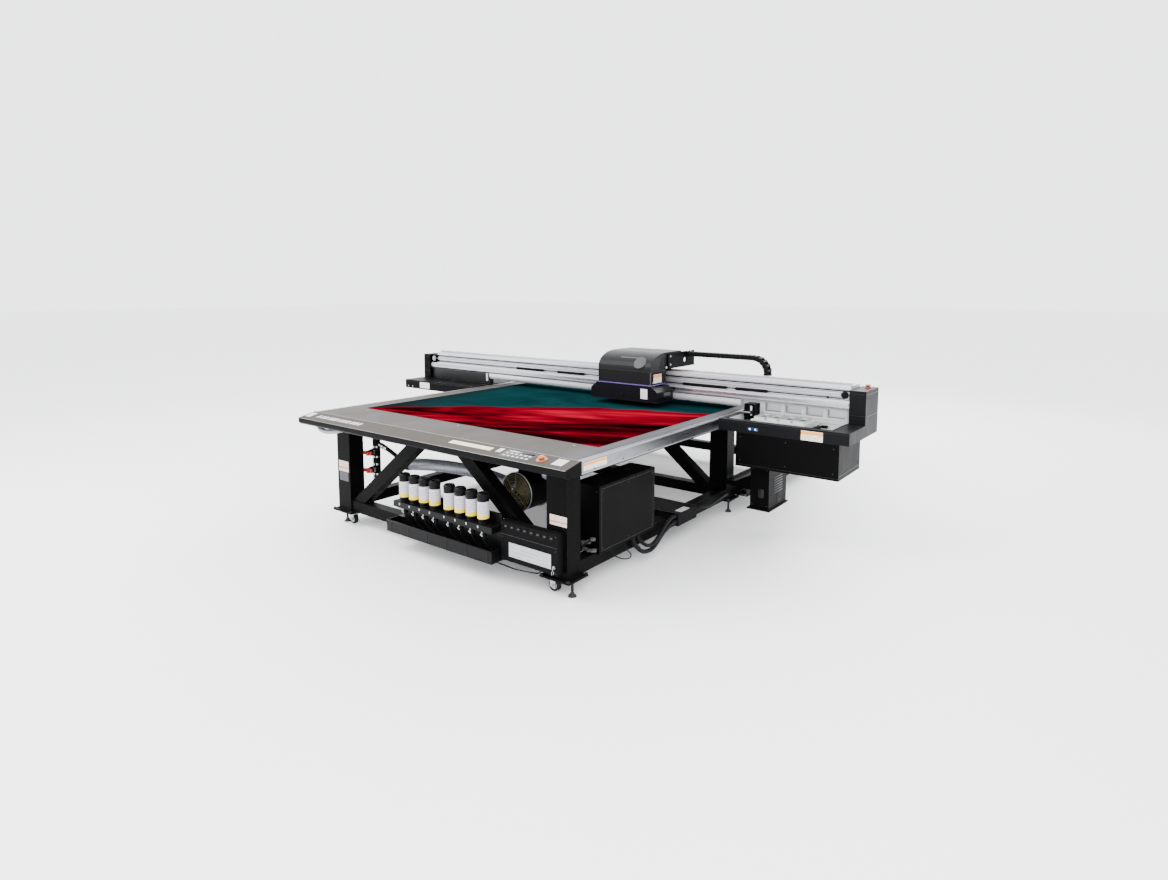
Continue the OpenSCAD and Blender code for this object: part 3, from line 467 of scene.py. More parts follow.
class Piece:
    """One mesh object made of several solids, in one material, that rides on a CAD body."""

    def __init__(self, name, body, material):
        self.name, self.body, self.material = name, body, material
        self.bm = bmesh.new()
        self.uv = self.bm.loops.layers.uv.new("UVMap")
        self.place = Matrix.Identity(4)

    def box(self, lo, hi, bevel=0.0):
        lo, hi = Vector(lo), Vector(hi)
        at = self.place @ Matrix.Translation((lo + hi) / 2) @ Matrix.Diagonal((*(hi - lo), 1))
        made = bmesh.ops.create_cube(self.bm, size=1.0, matrix=at)
        if bevel:
            edges = {e for v in made["verts"] for e in v.link_edges}
            bmesh.ops.bevel(self.bm, geom=list(edges), offset=bevel, segments=2, profile=0.6,
                            affect="EDGES")

    def rod(self, a, b, r, r2=None, n=20):
        a, b = Vector(a), Vector(b)
        at = self.place @ Matrix.Translation((a + b) / 2) @ turned_to(b - a)
        bmesh.ops.create_cone(self.bm, cap_ends=True, segments=n, radius1=r,
                              radius2=r if r2 is None else r2, depth=(b - a).length, matrix=at)

    def bolt(self, at, out, r=0.008, h=0.005):
        """A hexagon head on a washer, standing on a face."""
        at, out = Vector(at), Vector(out)
        self.rod(at, at + out * 0.0015, r * 1.35)
        self.rod(at + out * 0.0015, at + out * h, r, n=6)

    def screw(self, at, out, r=0.004):
        """A low domed screw head with a socket."""
        at, out = Vector(at), Vector(out)
        self.rod(at, at + out * r * 0.35, r)
        self.rod(at + out * r * 0.35, at + out * r * 0.6, r, r * 0.72)

    def rings(self, rings, closed=False, capped=True):
        made = [[self.bm.verts.new(self.place @ Vector(p)) for p in ring] for ring in rings]
        pairs = list(zip(made, made[1:])) + ([(made[-1], made[0])] if closed else [])
        for low, high in pairs:
            for i in range(len(low)):
                j = (i + 1) % len(low)
                self.bm.faces.new((low[i], low[j], high[j], high[i]))
        if capped and not closed:
            self.bm.faces.new(list(reversed(made[0])))
            self.bm.faces.new(made[-1])

    def tube(self, points, r, n=12, swell=None, closed=False):
        """A round tube along points; swell(i) scales its radius at point i."""
        points = [Vector(p) for p in points]
        last = len(points) - 1
        side, rings = None, []
        for i, p in enumerate(points):
            before = points[i - 1] if i or closed else p
            after = points[(i + 1) % (last + 1)] if i < last or closed else p
            ahead = (after - before).normalized()
            if side is None:
                side = ahead.orthogonal().normalized()
            side = (side - ahead * side.dot(ahead)).normalized()
            up = ahead.cross(side)
            k = r * (swell(i) if swell else 1.0)
            rings.append([p + k * (math.cos(a) * side + math.sin(a) * up)
                          for a in (math.tau * j / n for j in range(n))])
        self.rings(rings, closed=closed)

    def loop(self, centre, out, radius, r, n=40):
        """A closed round ring."""
        turn = Matrix.Translation(Vector(centre)) @ turned_to(out)
        self.tube([turn @ Vector((radius * math.cos(a), radius * math.sin(a), 0))
                   for a in (math.tau * i / n for i in range(n))], r, 8, closed=True)

    def lathe(self, profile, centre, out=Z, n=32):
        """A turned solid from (radius, height) pairs."""
        turn = Matrix.Translation(Vector(centre)) @ turned_to(out)
        self.rings([[turn @ Vector((r * math.cos(a), r * math.sin(a), h))
                     for a in (math.tau * j / n for j in range(n))] for r, h in profile])

    def label(self, centre, across, up, size, thick=0.0006):
        """A thin plate whose printed face carries UVs from 0 to 1."""
        centre, across, up = Vector(centre), Vector(across).normalized(), Vector(up).normalized()
        out = across.cross(up)
        w, h = size[0] / 2, size[1] / 2
        corners = [centre + across * (w * a) + up * (h * b)
                   for a, b in ((-1, -1), (1, -1), (1, 1), (-1, 1))]
        low = [self.bm.verts.new(self.place @ c) for c in corners]
        high = [self.bm.verts.new(self.place @ (c + out * thick)) for c in corners]
        face = self.bm.faces.new(high)
        for loop, uv in zip(face.loops, ((0, 0), (1, 0), (1, 1), (0, 1))):
            loop[self.uv].uv = uv
        for i in range(4):
            j = (i + 1) % 4
            self.bm.faces.new((low[i], low[j], high[j], high[i]))

    def done(self, slot=None, smooth=35, ride=True):
        mesh = bpy.data.meshes.new(self.name)
        bmesh.ops.recalc_face_normals(self.bm, faces=self.bm.faces)
        self.bm.to_mesh(mesh)
        self.bm.free()
        mesh.materials.append(M[self.material])
        for polygon in mesh.polygons:
            polygon.use_smooth = True
        mesh.set_sharp_from_angle(angle=math.radians(smooth))
        made = bpy.data.objects.new(self.name, mesh)
        bpy.context.scene.collection.objects.link(made)
        if ride:
            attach(made, self.body)
        return made


def curve_points(points, n):
    """Catmull-Rom line through given points."""
    p = [Vector(q) for q in points]
    p = [2 * p[0] - p[1]] + p + [2 * p[-1] - p[-2]]
    out = []
    for i in range(1, len(p) - 2):
        a, b, c, d = p[i - 1], p[i], p[i + 1], p[i + 2]
        for k in range(n):
            t = k / n
            out.append(0.5 * (2 * b + (c - a) * t + (2 * a - 5 * b + 4 * c - d) * t * t
                              + (3 * b - a - 3 * c + d) * t ** 3))
    return out + [p[-2]]


# ---- CAD nodes ----

NODE_MATERIALS = {
    "frame": ["front_frame", "inner_frames", "side_frames"],
    "bed": ["vacuum_table"],
    "side": ["side_covers"],
    "panel": ["control_panel"],
    "side_rail": ["y_rails"],
    "cover": ["control_cabinet", "left_tower", "left_arm", "station_cover", "drive_box",
              "wiper_housing"],
    "board": ["cabinet_electronics"],
    "lid": ["power_box"],
    "bottle": ["ink_tray"],
    "box": ["ink_control_box", "blower_housing", "valve_manifold", "chain_tray", "uv_lamps",
            "carriage_frame"],
    "bolt": ["levelling_feet"],
    "beam": ["gantry_beam"],
    "rail": ["beam_rails"],
    "low_cover": ["beam_lower_covers"],
    "charcoal": ["right_tower", "station_body"],
    "liner": ["station_tray", "cap_unit"],
    "steel": ["gantry_trucks", "drive_pulley", "idler_pulley"],
    "rubber": ["x_belt", "wiper_blade"],
    "carriage": ["carriage_cover"],
    "violet": ["carriage_trim"],
    "skirt": ["carriage_skirt"],
    "head": ["print_heads"],
    "red": ["left_stop_button", "right_stop_button"],
    "peach": ["panel_stop_button"],
    "valve": ["upper_valve_handle", "lower_valve_handle"],
    "bronze": ["blower_impeller"],
    "chain": ["x_motor"],
    "cable": ["cabinet_cables"],
    "zinc": ["caster_fork_1", "caster_fork_2", "caster_fork_3", "caster_fork_4"],
    "tyre": ["caster_wheel_1", "caster_wheel_2", "caster_wheel_3", "caster_wheel_4"],
}


def dress_nodes():
    for material, names in NODE_MATERIALS.items():
        for name in names:
            slots = NODES[name].data.materials
            slots.clear()
            slots.append(M[material])


# ---- table and its panel ----

SHEET_LO = (-1.035, -1.492, 0.8352)
SHEET_HI = (1.160, 1.55, 0.8372)
PANEL_FRONT, PANEL_LOW, PANEL_RISE, PANEL_RUN = -1.95, 0.807, 0.028, 0.135
TABLE_LEFT, TABLE_RIGHT = -1.215, 1.285
PANEL_TILT = math.atan2(PANEL_RISE, PANEL_RUN)
PANEL = (Matrix.Translation((0, PANEL_FRONT, PANEL_LOW)) @ Matrix.Rotation(PANEL_TILT, 4, "X"))
STOP_AT = (1.063, 0.071 / math.cos(PANEL_TILT))


def media_sheet():
    sheet = Piece("media_sheet", "root", "art")
    sheet.box(SHEET_LO, SHEET_HI, 0.0005)
    sheet.done()


def panel_labels():
    for name, material, x, v, size in (
            ("panel_label_left", "label_white", -1.175, 0.078, (0.060, 0.070)),
            ("panel_label_strip", "label_cream", 0.500, 0.082, (0.350, 0.040)),
            ("panel_label_small", "label_white", 0.735, 0.090, (0.036, 0.050)),
            ("panel_label_right", "label_white", 1.185, 0.082, (0.072, 0.075))):
        piece = Piece(name, "root", material)
        piece.place = PANEL
        piece.label((x, v, 0.0), X, Y, size)
        piece.done()


def panel_marks():
    """A plain row of slanted pale bars where the maker's lettering would be."""
    piece = Piece("panel_marks", "root", "white")
    piece.place = PANEL
    x = -1.08
    while x < -0.58:
        wide = RNG.choice((0.016, 0.024, 0.030))
        lean = 0.012
        low, high = 0.052, 0.092
        corners = [(x, low), (x + wide, low), (x + wide + lean, high), (x + lean, high)]
        piece.rings([[Vector((a, b, h)) for a, b in corners] for h in (0.0, 0.0006)])
        x += wide + RNG.choice((0.010, 0.014, 0.022))
    piece.done()


def panel_keys():
    pad = Piece("panel_keypad", "root", "grey")
    pad.place = PANEL
    pad.box((0.775, 0.022, 0.0), (1.005, 0.118, 0.0008), 0.0003)
    pad.done("panel_grey")
    keys = Piece("panel_keys", "root", "white")
    keys.place = PANEL
    for i in range(6):
        for j in range(2):
            x, v = 0.795 + 0.034 * i, 0.038 + 0.032 * j
            keys.box((x, v, 0.0008), (x + 0.020, v + 0.014, 0.0020), 0.0005)
    keys.box((0.800, 0.098, 0.0008), (0.872, 0.110, 0.0016), 0.0003)
    keys.done()
    window = Piece("panel_display", "root", "bottle")
    window.place = PANEL
    window.box((0.895, 0.094, 0.0008), (0.990, 0.113, 0.0018), 0.0004)
    window.done()
    light = Piece("panel_light", "root", "green_light")
    light.place = PANEL
    light.rod((0.884, 0.104, 0.0), (0.884, 0.104, 0.0020), 0.003)
    light.done()


def panel_stop():
    collar = Piece("panel_stop_collar", "root", "orange")
    collar.place = PANEL
    collar.lathe([(0.0105, 0.0), (0.033, 0.0), (0.033, 0.003), (0.0305, 0.0056), (0.0105, 0.0056)],
                 (STOP_AT[0], STOP_AT[1], 0.0), n=48)
    collar.done("stop_orange")
    grip = Piece("panel_stop_grip", "panel_stop", "peach")
    grip.place = PANEL
    grip.loop((STOP_AT[0], STOP_AT[1], 0.0175), Z, 0.0175, 0.0022)
    grip.done("stop_orange")


def panel_trim():
    ends = Piece("panel_end_caps", "root", "cover")
    section = [(-1.815, 0.8365), (-1.951, 0.8085), (-1.951, 0.7735), (-1.931, 0.7585),
               (-1.815, 0.7585)]
    for x0, x1 in ((TABLE_LEFT - 0.003, TABLE_LEFT), (TABLE_RIGHT, TABLE_RIGHT + 0.003)):
        ends.rings([[Vector((x, y, z)) for y, z in section] for x in (x0, x1)])
    ends.done("black_cover")
    strip = Piece("panel_front_edge", "root", "plate")
    strip.place = PANEL
    strip.box((TABLE_LEFT, 0.0, -0.0015), (TABLE_RIGHT, 0.0025, 0.0006), 0.0003)
    strip.box((TABLE_LEFT, 0.1355, -0.0012), (TABLE_RIGHT, 0.1378, 0.0007), 0.0003)
    strip.done("panel_grey")
    screws = Piece("panel_screws", "root", "bolt")
    screws.place = PANEL
    for i in range(9):
        x = TABLE_LEFT + 0.03 + i * (TABLE_RIGHT - TABLE_LEFT - 0.06) / 8
        screws.screw((x, 0.014, 0.0), Z, 0.003)
        screws.screw((x, 0.126, 0.0), Z, 0.003)
    screws.done()


def table_edges():
    """Sealing strips, fixing screws and the label of the table's side covers."""
    black = Piece("table_side_gaskets", "root", "rubber")
    for x in (TABLE_LEFT + 0.035, TABLE_RIGHT - 0.035):
        black.box((x - 0.0015, -1.812, 0.8345), (x + 0.0015, 1.949, 0.8358), 0.0004)
    for x0, x1 in ((TABLE_LEFT + 0.001, TABLE_LEFT + 0.034), (TABLE_RIGHT - 0.034, TABLE_RIGHT - 0.001)):
        black.box((x0, -1.814, 0.7535), (x1, 1.949, 0.760), 0.001)
    black.done()
    screws = Piece("table_side_screws", "root", "bolt")
    for i in range(14):
        y = -1.70 + i * 0.275
        for x, out in ((TABLE_LEFT, -X), (TABLE_RIGHT, X)):
            screws.screw((x, y, 0.775), out, 0.0045)
    screws.done()
    lines = Piece("table_side_grooves", "root", "plate")
    for x0, x1 in ((TABLE_LEFT - 0.0012, TABLE_LEFT), (TABLE_RIGHT, TABLE_RIGHT + 0.0012)):
        lines.box((x0, -1.812, 0.8275), (x1, 1.945, 0.8345), 0.0003)
        lines.box((x0, -1.812, 0.7605), (x1, 1.945, 0.7665), 0.0003)
    lines.done("brushed_cover")
    label = Piece("table_side_label", "root", "label_warn")
    label.label((TABLE_RIGHT, -1.690, 0.797), Y, Z, (0.210, 0.042))
    label.done()
    pins = Piece("table_stop_pins", "root", "steel")
    for x in (-0.95, 0.035, 1.02):
        pins.lathe([(0.0001, 0.0), (0.008, 0.0), (0.008, 0.0012), (0.006, 0.002), (0.0001, 0.002)],
                   (x, -1.545, 0.835))
    pins.done("machined_steel")


# ---- frame and what hangs on it ----

LEG_ROWS = (-1.745, 0.215, 1.625)
TABLE_X, LEG_OUT, LEG_W, LEG_D = 0.035, 1.095, 0.150, 0.120
BASE_Z, LOW_BEAM_TOP, BED_UNDER = 0.114, 0.194, 0.760


def frame_details():
    welds = Piece("frame_welds", "root", "frame")
    bolts = Piece("frame_bolts", "root", "bolt")
    caps = Piece("frame_foot_plates", "root", "frame")
    for y0 in LEG_ROWS:
        for side in (-1, 1):
            x = TABLE_X + side * (LEG_OUT - LEG_W / 2)
            lo, hi = (x - LEG_W / 2, y0, 0), (x + LEG_W / 2, y0 + LEG_D, 0)
            corner = [(lo[0], lo[1]), (hi[0], lo[1]), (hi[0], hi[1]), (lo[0], hi[1])]
            welds.tube([(a, b, BASE_Z + 0.001) for a, b in corner], 0.004, 8, closed=True)
            for dx in (-0.098, 0.098):
                for dy in (-0.022, 0.142):
                    bolts.bolt((x + dx, y0 + dy, BASE_Z), Z, 0.009, 0.009)
            head = TABLE_X + side * 0.240
            foot = TABLE_X + side * (LEG_OUT - LEG_W - 0.068)
            for px, pz in ((head, 0.700), (foot, LOW_BEAM_TOP)):
                for y in (y0 + 0.020, y0 + 0.100):
                    welds.tube([(px - 0.066, y, pz), (px + 0.066, y, pz)], 0.004, 8)
            inner = TABLE_X + side * (LEG_OUT - LEG_W)
            for z in (BASE_Z + 0.004, LOW_BEAM_TOP):
                welds.tube([(inner, y0 + 0.010, z), (inner, y0 + 0.090, z)], 0.004, 8)
            caps.box((x - 0.012, y0 + LEG_D / 2 - 0.070, BASE_Z - 0.0165),
                     (x + 0.012, y0 + LEG_D / 2 + 0.070, BASE_Z - 0.012), 0.001)
    for y in (-1.50, -0.72, -0.18, 0.55, 1.05, 1.50):
        for side in (-1, 1):
            bolts.bolt((TABLE_X + side * LEG_OUT, y, 0.730), Vector((side, 0, 0)), 0.007, 0.006)
    welds.done("black_frame")
    bolts.done()
    caps.done("black_frame")


def leg_labels():
    for name, material, x, z, size in (
            ("leg_label_white", "label_blush", -0.985, 0.442, (0.118, 0.078)),
            ("leg_label_grey", "label_silver", -0.985, 0.366, (0.108, 0.066)),
            ("leg_label_right", "label_blush", 1.066, 0.447, (0.124, 0.058))):
        piece = Piece(name, "root", material)
        piece.label((x, LEG_ROWS[0], z), X, Z, size)
        piece.done()
    piece = Piece("supply_box_label", "root", "label_white")
    piece.label((1.135, -0.475, 0.208), Y, -X, (0.120, 0.052))
    piece.done()


def cabinet_details():
    seams = Piece("cabinet_seams", "root", "bolt")
    x, y0, y1, z0, z1 = 1.165, -1.490, -0.890, 0.194, 0.600
    for lo, hi in (((x, y0 + 0.020, z0 + 0.016), (x + 0.0012, y1 - 0.020, z0 + 0.0185)),
                   ((x, y0 + 0.020, z1 - 0.0185), (x + 0.0012, y1 - 0.020, z1 - 0.016)),
                   ((x, y0 + 0.020, z0 + 0.016), (x + 0.0012, y0 + 0.0225, z1 - 0.016)),
                   ((x, y1 - 0.0225, z0 + 0.016), (x + 0.0012, y1 - 0.020, z1 - 0.016))):
        seams.box(lo, hi)
    seams.done()
    screws = Piece("cabinet_screws", "root", "bolt")
    for y in (y0 + 0.034, (y0 + y1) / 2, y1 - 0.034):
        for z in (z0 + 0.032, z1 - 0.032):
            screws.screw((x, y, z), X, 0.0045)
    for dx in (0.020, 0.170):
        for z in (z0 + 0.030, z1 - 0.030):
            screws.screw((0.975 + dx, y0, z), -Y, 0.0045)
    screws.done()
    sockets = Piece("cabinet_connectors", "root", "grey")
    for cx, cz, w, h in ((1.060, 0.250, 0.030, 0.020), (1.094, 0.262, 0.022, 0.022),
                         (1.126, 0.284, 0.028, 0.018), (1.064, 0.214, 0.036, 0.018),
                         (1.104, 0.212, 0.024, 0.016), (1.136, 0.218, 0.022, 0.020)):
        sockets.box((cx - w / 2, y0 - 0.022, cz - h / 2), (cx + w / 2, y0, cz + h / 2), 0.003)
        sockets.rod((cx, y0 - 0.036, cz), (cx, y0 - 0.022, cz), h * 0.36)
    sockets.done()
    leads = Piece("cabinet_leads", "root", "cable")
    for cx, cz, far in ((1.060, 0.250, 1.012), (1.094, 0.262, 1.030), (1.126, 0.284, 1.046),
                        (1.064, 0.214, 1.000)):
        leads.tube(curve_points([(cx, y0 - 0.034, cz), (cx, y0 - 0.060, cz - 0.004),
                                 (cx - 0.02, y0 - 0.075, cz - 0.025), (far, y0 - 0.070, 0.206),
                                 (far - 0.02, y0 - 0.085, 0.2005)], 6), 0.0045, 8)
    leads.done()
    plate = Piece("supply_box_seam", "root", "bolt")
    plate.box((0.822, -0.588, 0.2080), (1.166, -0.584, 0.2088))
    plate.box((0.822, -0.336, 0.2080), (1.166, -0.332, 0.2088))
    for px in (0.84, 1.0, 1.148):
        for py in (-0.575, -0.345):
            plate.screw((px, py, 0.208), Z, 0.005)
    plate.done()


BLOWER = Vector((0.500, -1.480, 0.450))
BLOWER_R = 0.125


def blower_details():
    guard = Piece("blower_guard", "root", "olive")
    front = BLOWER + Vector((0, -0.004, 0))
    for i in range(8):
        guard.loop(front, Y, 0.018 + 0.0135 * i, 0.0017, 48)
    for i in range(8):
        a = math.tau * i / 8
        spoke = Vector((math.cos(a), 0, math.sin(a)))
        guard.rod(front - Y * 0.003 + spoke * 0.010, front - Y * 0.003 + spoke * 0.120, 0.0022, n=8)
    guard.done()
    rim = Piece("blower_rim", "root", "plate")
    rim.loop(BLOWER + Vector((0, 0.186, 0)), Y, BLOWER_R + 0.004, 0.006, 56)
    rim.loop(BLOWER + Vector((0, 0.002, 0)), Y, BLOWER_R + 0.001, 0.004, 56)
    rim.done()
    fins = Piece("blower_motor_fins", "root", "box")
    for i in range(20):
        a = math.tau * i / 20
        out = Vector((math.cos(a), 0, math.sin(a)))
        side = Vector((-math.sin(a), 0, math.cos(a))) * 0.0022
        base = BLOWER + Vector((0, 0.206, 0))
        ring = [base + out * 0.058 - side, base + out * 0.058 + side,
                base + out * 0.074 + side, base + out * 0.074 - side]
        fins.rings([ring, [p + Y * 0.094 for p in ring]])
    fins.lathe([(0.0001, 0.0), (0.066, 0.0), (0.066, 0.010), (0.060, 0.014), (0.0001, 0.014)],
               BLOWER + Vector((0, 0.302, 0)), Y)
    fins.box(BLOWER + Vector((-0.03, 0.225, 0.058)), BLOWER + Vector((0.03, 0.285, 0.098)), 0.004)
    fins.done("dark_cover")
    bolts = Piece("blower_bolts", "root", "zinc")
    for i in range(6):
        a = math.tau * (i + 0.5) / 6
        bolts.bolt(BLOWER + Vector((0.092 * math.cos(a), 0.200, 0.092 * math.sin(a))), Y, 0.005)
    bolts.done()


WIDE_HOSE = [(0.355, -1.380, 0.450), (0.300, -1.385, 0.465), (0.120, -1.400, 0.490),
             (-0.120, -1.430, 0.500), (-0.360, -1.455, 0.490), (-0.600, -1.470, 0.462)]
THIN_HOSE = [(-0.600, -1.470, 0.462), (-0.670, -1.490, 0.500), (-0.740, -1.530, 0.560),
             (-0.800, -1.558, 0.596), (-0.812, -1.560, 0.600)]
RETURN_HOSE = [(0.560, -1.235, 0.505), (0.640, -1.280, 0.545), (0.720, -1.420, 0.580),
               (0.800, -1.540, 0.625), (0.860, -1.585, 0.672)]


def hoses():
    wide = Piece("wide_hose", "root", "hose")
    path = curve_points(WIDE_HOSE, 40)
    wide.tube(path, 0.0425, 28, lambda i: 1.0 + 0.028 * math.cos(i * math.tau / 5))
    wide = wide.done("hose")
    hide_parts("vacuum_hoses")
    collars = Piece("hose_collars", "root", "chain")
    for a, b, r in ((path[0], path[5], 0.046), (path[-8], path[-1], 0.0445),
                    (path[18], path[20], 0.0455)):
        collars.rod(a, b, r, n=32)
    direction = (path[-1] - path[-4]).normalized()
    tip = path[-1]
    collars.rod(tip - direction * 0.004, tip + direction * 0.014, 0.044, 0.020, n=32)
    collars.done()
    thin = Piece("thin_hose", "root", "cable")
    thin.tube(curve_points(THIN_HOSE, 24), 0.0155, 18, lambda i: 1.0 + 0.05 * math.cos(i * 2.1))
    thin.done()
    coupling = Piece("hose_coupling", "root", "zinc")
    line = curve_points(THIN_HOSE, 12)
    for i in (26, 30, 34):
        coupling.rod(line[i], line[i + 3], 0.0195 if i == 30 else 0.0178, n=24)
    coupling.done()
    duct = Piece("return_hose", "root", "hose")
    duct.tube(curve_points(RETURN_HOSE, 30), 0.024, 20,
              lambda i: 1.0 + 0.06 * math.cos(i * math.tau / 4))
    duct.done("hose")
    flange = Piece("return_hose_flange", "root", "box")
    flange.rod((0.868, -1.590, 0.668), (0.890, -1.600, 0.700), 0.028, n=24)
    flange.rod((0.545, -1.228, 0.497), (0.566, -1.238, 0.508), 0.027, n=24)
    flange.done()


VALVE_X, VALVE_Y = -0.840, -1.560
VALVE_ROWS = (0.540, 0.410)


def valve_details():
    brass = Piece("valve_unions", "root", "zinc")
    for z in VALVE_ROWS:
        brass.rod((VALVE_X, VALVE_Y - 0.030, z), (VALVE_X, VALVE_Y - 0.044, z), 0.0275, n=6)
        for dz in (-0.044, 0.030):
            brass.rod((VALVE_X, VALVE_Y, z + dz), (VALVE_X, VALVE_Y, z + dz + 0.014), 0.0315, n=6)
    brass.rod((VALVE_X, VALVE_Y, 0.330), (VALVE_X, VALVE_Y, 0.320), 0.022, n=24)
    brass.rod((VALVE_X, VALVE_Y, 0.352), (VALVE_X, VALVE_Y, 0.340), 0.0305, n=6)
    brass.done()
    for body, z in (("upper_handle", VALVE_ROWS[0]), ("lower_handle", VALVE_ROWS[1])):
        grip = Piece(body + "_grip", body, "valve")
        for side in (-1, 1):
            x = VALVE_X + side * 0.037
            grip.box((x - 0.011, -1.6475, z - 0.0135), (x + 0.011, -1.631, z + 0.0135), 0.004)
        grip.done("valve_red")
        nut = Piece(body + "_nut", body, "zinc")
        nut.rod((VALVE_X, -1.644, z), (VALVE_X, -1.6485, z), 0.008, n=6)
        nut.done()


# ---- ink supply ----

BOTTLE_Y, BOTTLE_R = -1.810, 0.037
BOTTLE_TOP, SOCKET_TOP = 0.530, 0.345
LABEL_Z = (0.376, 0.480)
BOTTLE_X = [[-0.200 + 0.1 * i + 0.436 * g for i in range(4)] for g in (0, 1)]


def bottles():
    groups = (("left_bottles", "ink_bottles_left"), ("right_bottles", "ink_bottles_right"))
    for (body, node), columns in zip(groups, BOTTLE_X):
        shell = Piece(body + "_shells", body, "bottle")
        label = Piece(body + "_labels", body, "label_ink")
        for x in columns:
            r, top = BOTTLE_R - 0.0006, BOTTLE_TOP
            shell.lathe([
                (0.001, 0.311), (0.0135, 0.311), (0.0135, 0.331), (0.0138, SOCKET_TOP),
                (0.024, 0.3495), (r - 0.006, 0.357), (r, 0.3685), (r, top - 0.040),
                (r - 0.0022, top - 0.0375), (r - 0.0022, top - 0.034), (r, top - 0.0315),
                (r, top - 0.006), (r - 0.005, top), (r - 0.012, top), (r - 0.014, top - 0.0035),
                (0.001, top - 0.0035)],
                (x, BOTTLE_Y, 0), n=40)
            for i in range(30):
                a = math.tau * i / 30
                at = Vector((x + (r + 0.0002) * math.cos(a), BOTTLE_Y + (r + 0.0002) * math.sin(a), 0))
                shell.rod(at + Z * (top - 0.029), at + Z * (top - 0.008), 0.0009, n=6)
            wrap(label, x, BOTTLE_Y, r + 0.0004, *LABEL_Z)
        made = shell.done("bottle_plastic")
        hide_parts(node)
        label.done()


def wrap(piece, x, y, r, z0, z1, n=40):
    """A label round a bottle, with the UVs running round it twice."""
    rings = [[piece.bm.verts.new((x + r * math.cos(a), y + r * math.sin(a), z))
              for a in (math.tau * i / n for i in range(n))] for z in (z0, z1)]
    for i in range(n):
        j = (i + 1) % n
        face = piece.bm.faces.new((rings[0][i], rings[0][j], rings[1][j], rings[1][i]))
        u0, u1 = 2.0 * i / n % 1.0, 2.0 * i / n % 1.0 + 2.0 / n
        for loop, uv in zip(face.loops, ((u0, 0), (u1, 0), (u1, 1), (u0, 1))):
            loop[piece.uv].uv = uv


def ink_details():
    nuts = Piece("ink_socket_rings", "root", "chain")
    metal = Piece("ink_fittings", "root", "zinc")
    lines = Piece("ink_lines", "root", "cable")
    for group in BOTTLE_X:
        for x in group:
            nuts.lathe([(0.0155, 0.0), (0.030, 0.0), (0.030, 0.006), (0.024, 0.012), (0.0155, 0.012)],
                       (x, BOTTLE_Y, 0.343))
            nuts.rod((x, BOTTLE_Y, 0.262), (x, BOTTLE_Y, 0.305), 0.019, n=20)
            metal.rod((x + 0.010, BOTTLE_Y - 0.024, 0.268), (x + 0.010, BOTTLE_Y - 0.024, 0.298), 0.0045)
            metal.rod((x + 0.010, BOTTLE_Y - 0.024, 0.282), (x + 0.010, BOTTLE_Y - 0.034, 0.282), 0.006, n=6)
            metal.box((x - 0.012, BOTTLE_Y - 0.0425, 0.322), (x - 0.002, BOTTLE_Y - 0.0405, 0.336))
            lines.tube(curve_points([(x, BOTTLE_Y, 0.264), (x + 0.002, BOTTLE_Y - 0.002, 0.238),
                                     (x + 0.014, BOTTLE_Y + 0.012, 0.205),
                                     (x + 0.036, -1.776, 0.172), (x + 0.050, -1.768, 0.150)], 6),
                       0.0042, 8)
    nuts.done()
    metal.done()
    lines.done()
    rim = Piece("ink_tray_rim", "root", "bottle")
    rim.box((-0.331, -1.8665, 0.199), (0.656, -1.8625, 0.2065), 0.001)
    rim.box((-0.331, -1.8665, 0.1275), (0.656, -1.8640, 0.133), 0.001)
    for i in range(6):
        x = -0.29 + i * 0.181
        rim.box((x, -1.8662, 0.134), (x + 0.012, -1.8645, 0.199), 0.001)
    rim.done("black_plastic")


def chip_panel():
    chips = Piece("ink_chip_cards", "root", "grey")
    frames = Piece("ink_chip_frames", "root", "chain")
    for i in range(8):
        x = 0.700 + 0.050 * i
        frames.box((x - 0.004, -1.8022, 0.3455), (x + 0.026, -1.800, 0.3520), 0.0006)
        frames.box((x - 0.004, -1.8022, 0.3640), (x + 0.026, -1.800, 0.3705), 0.0006)
        chips.box((x + 0.003, -1.8040, 0.3550), (x + 0.019, -1.790, 0.3612), 0.0005)
    chips.done()
    frames.done()
    label = Piece("ink_plate_print", "root", "label_plate")
    label.label((0.8985, -1.8026, 0.224), X, Z, (0.322, 0.084))
    label.done()
    key = Piece("ink_door_key", "root", "zinc")
    key.rod((1.082, -1.800, 0.196), (1.082, -1.806, 0.196), 0.010)
    key.box((1.0805, -1.818, 0.178), (1.0835, -1.806, 0.204), 0.001)
    key.loop((1.082, -1.816, 0.168), X, 0.010, 0.0014, 24)
    key.done()
    screws = Piece("ink_box_screws", "root", "bolt")
    for x in (0.684, 1.091):
        for z in (0.164, 0.290, 0.371):
            screws.screw((x, -1.800, z), -Y, 0.004)
    screws.box((0.672, -1.8012, 0.306), (1.103, -1.800, 0.309))
    screws.done()


# ---- casters and feet ----

CASTERS = [(1.012, -1.685), (-0.942, -1.685), (1.012, 1.685), (-0.942, 1.685)]
CASTER_TRAIL, WHEEL_Z = 0.022, 0.0375


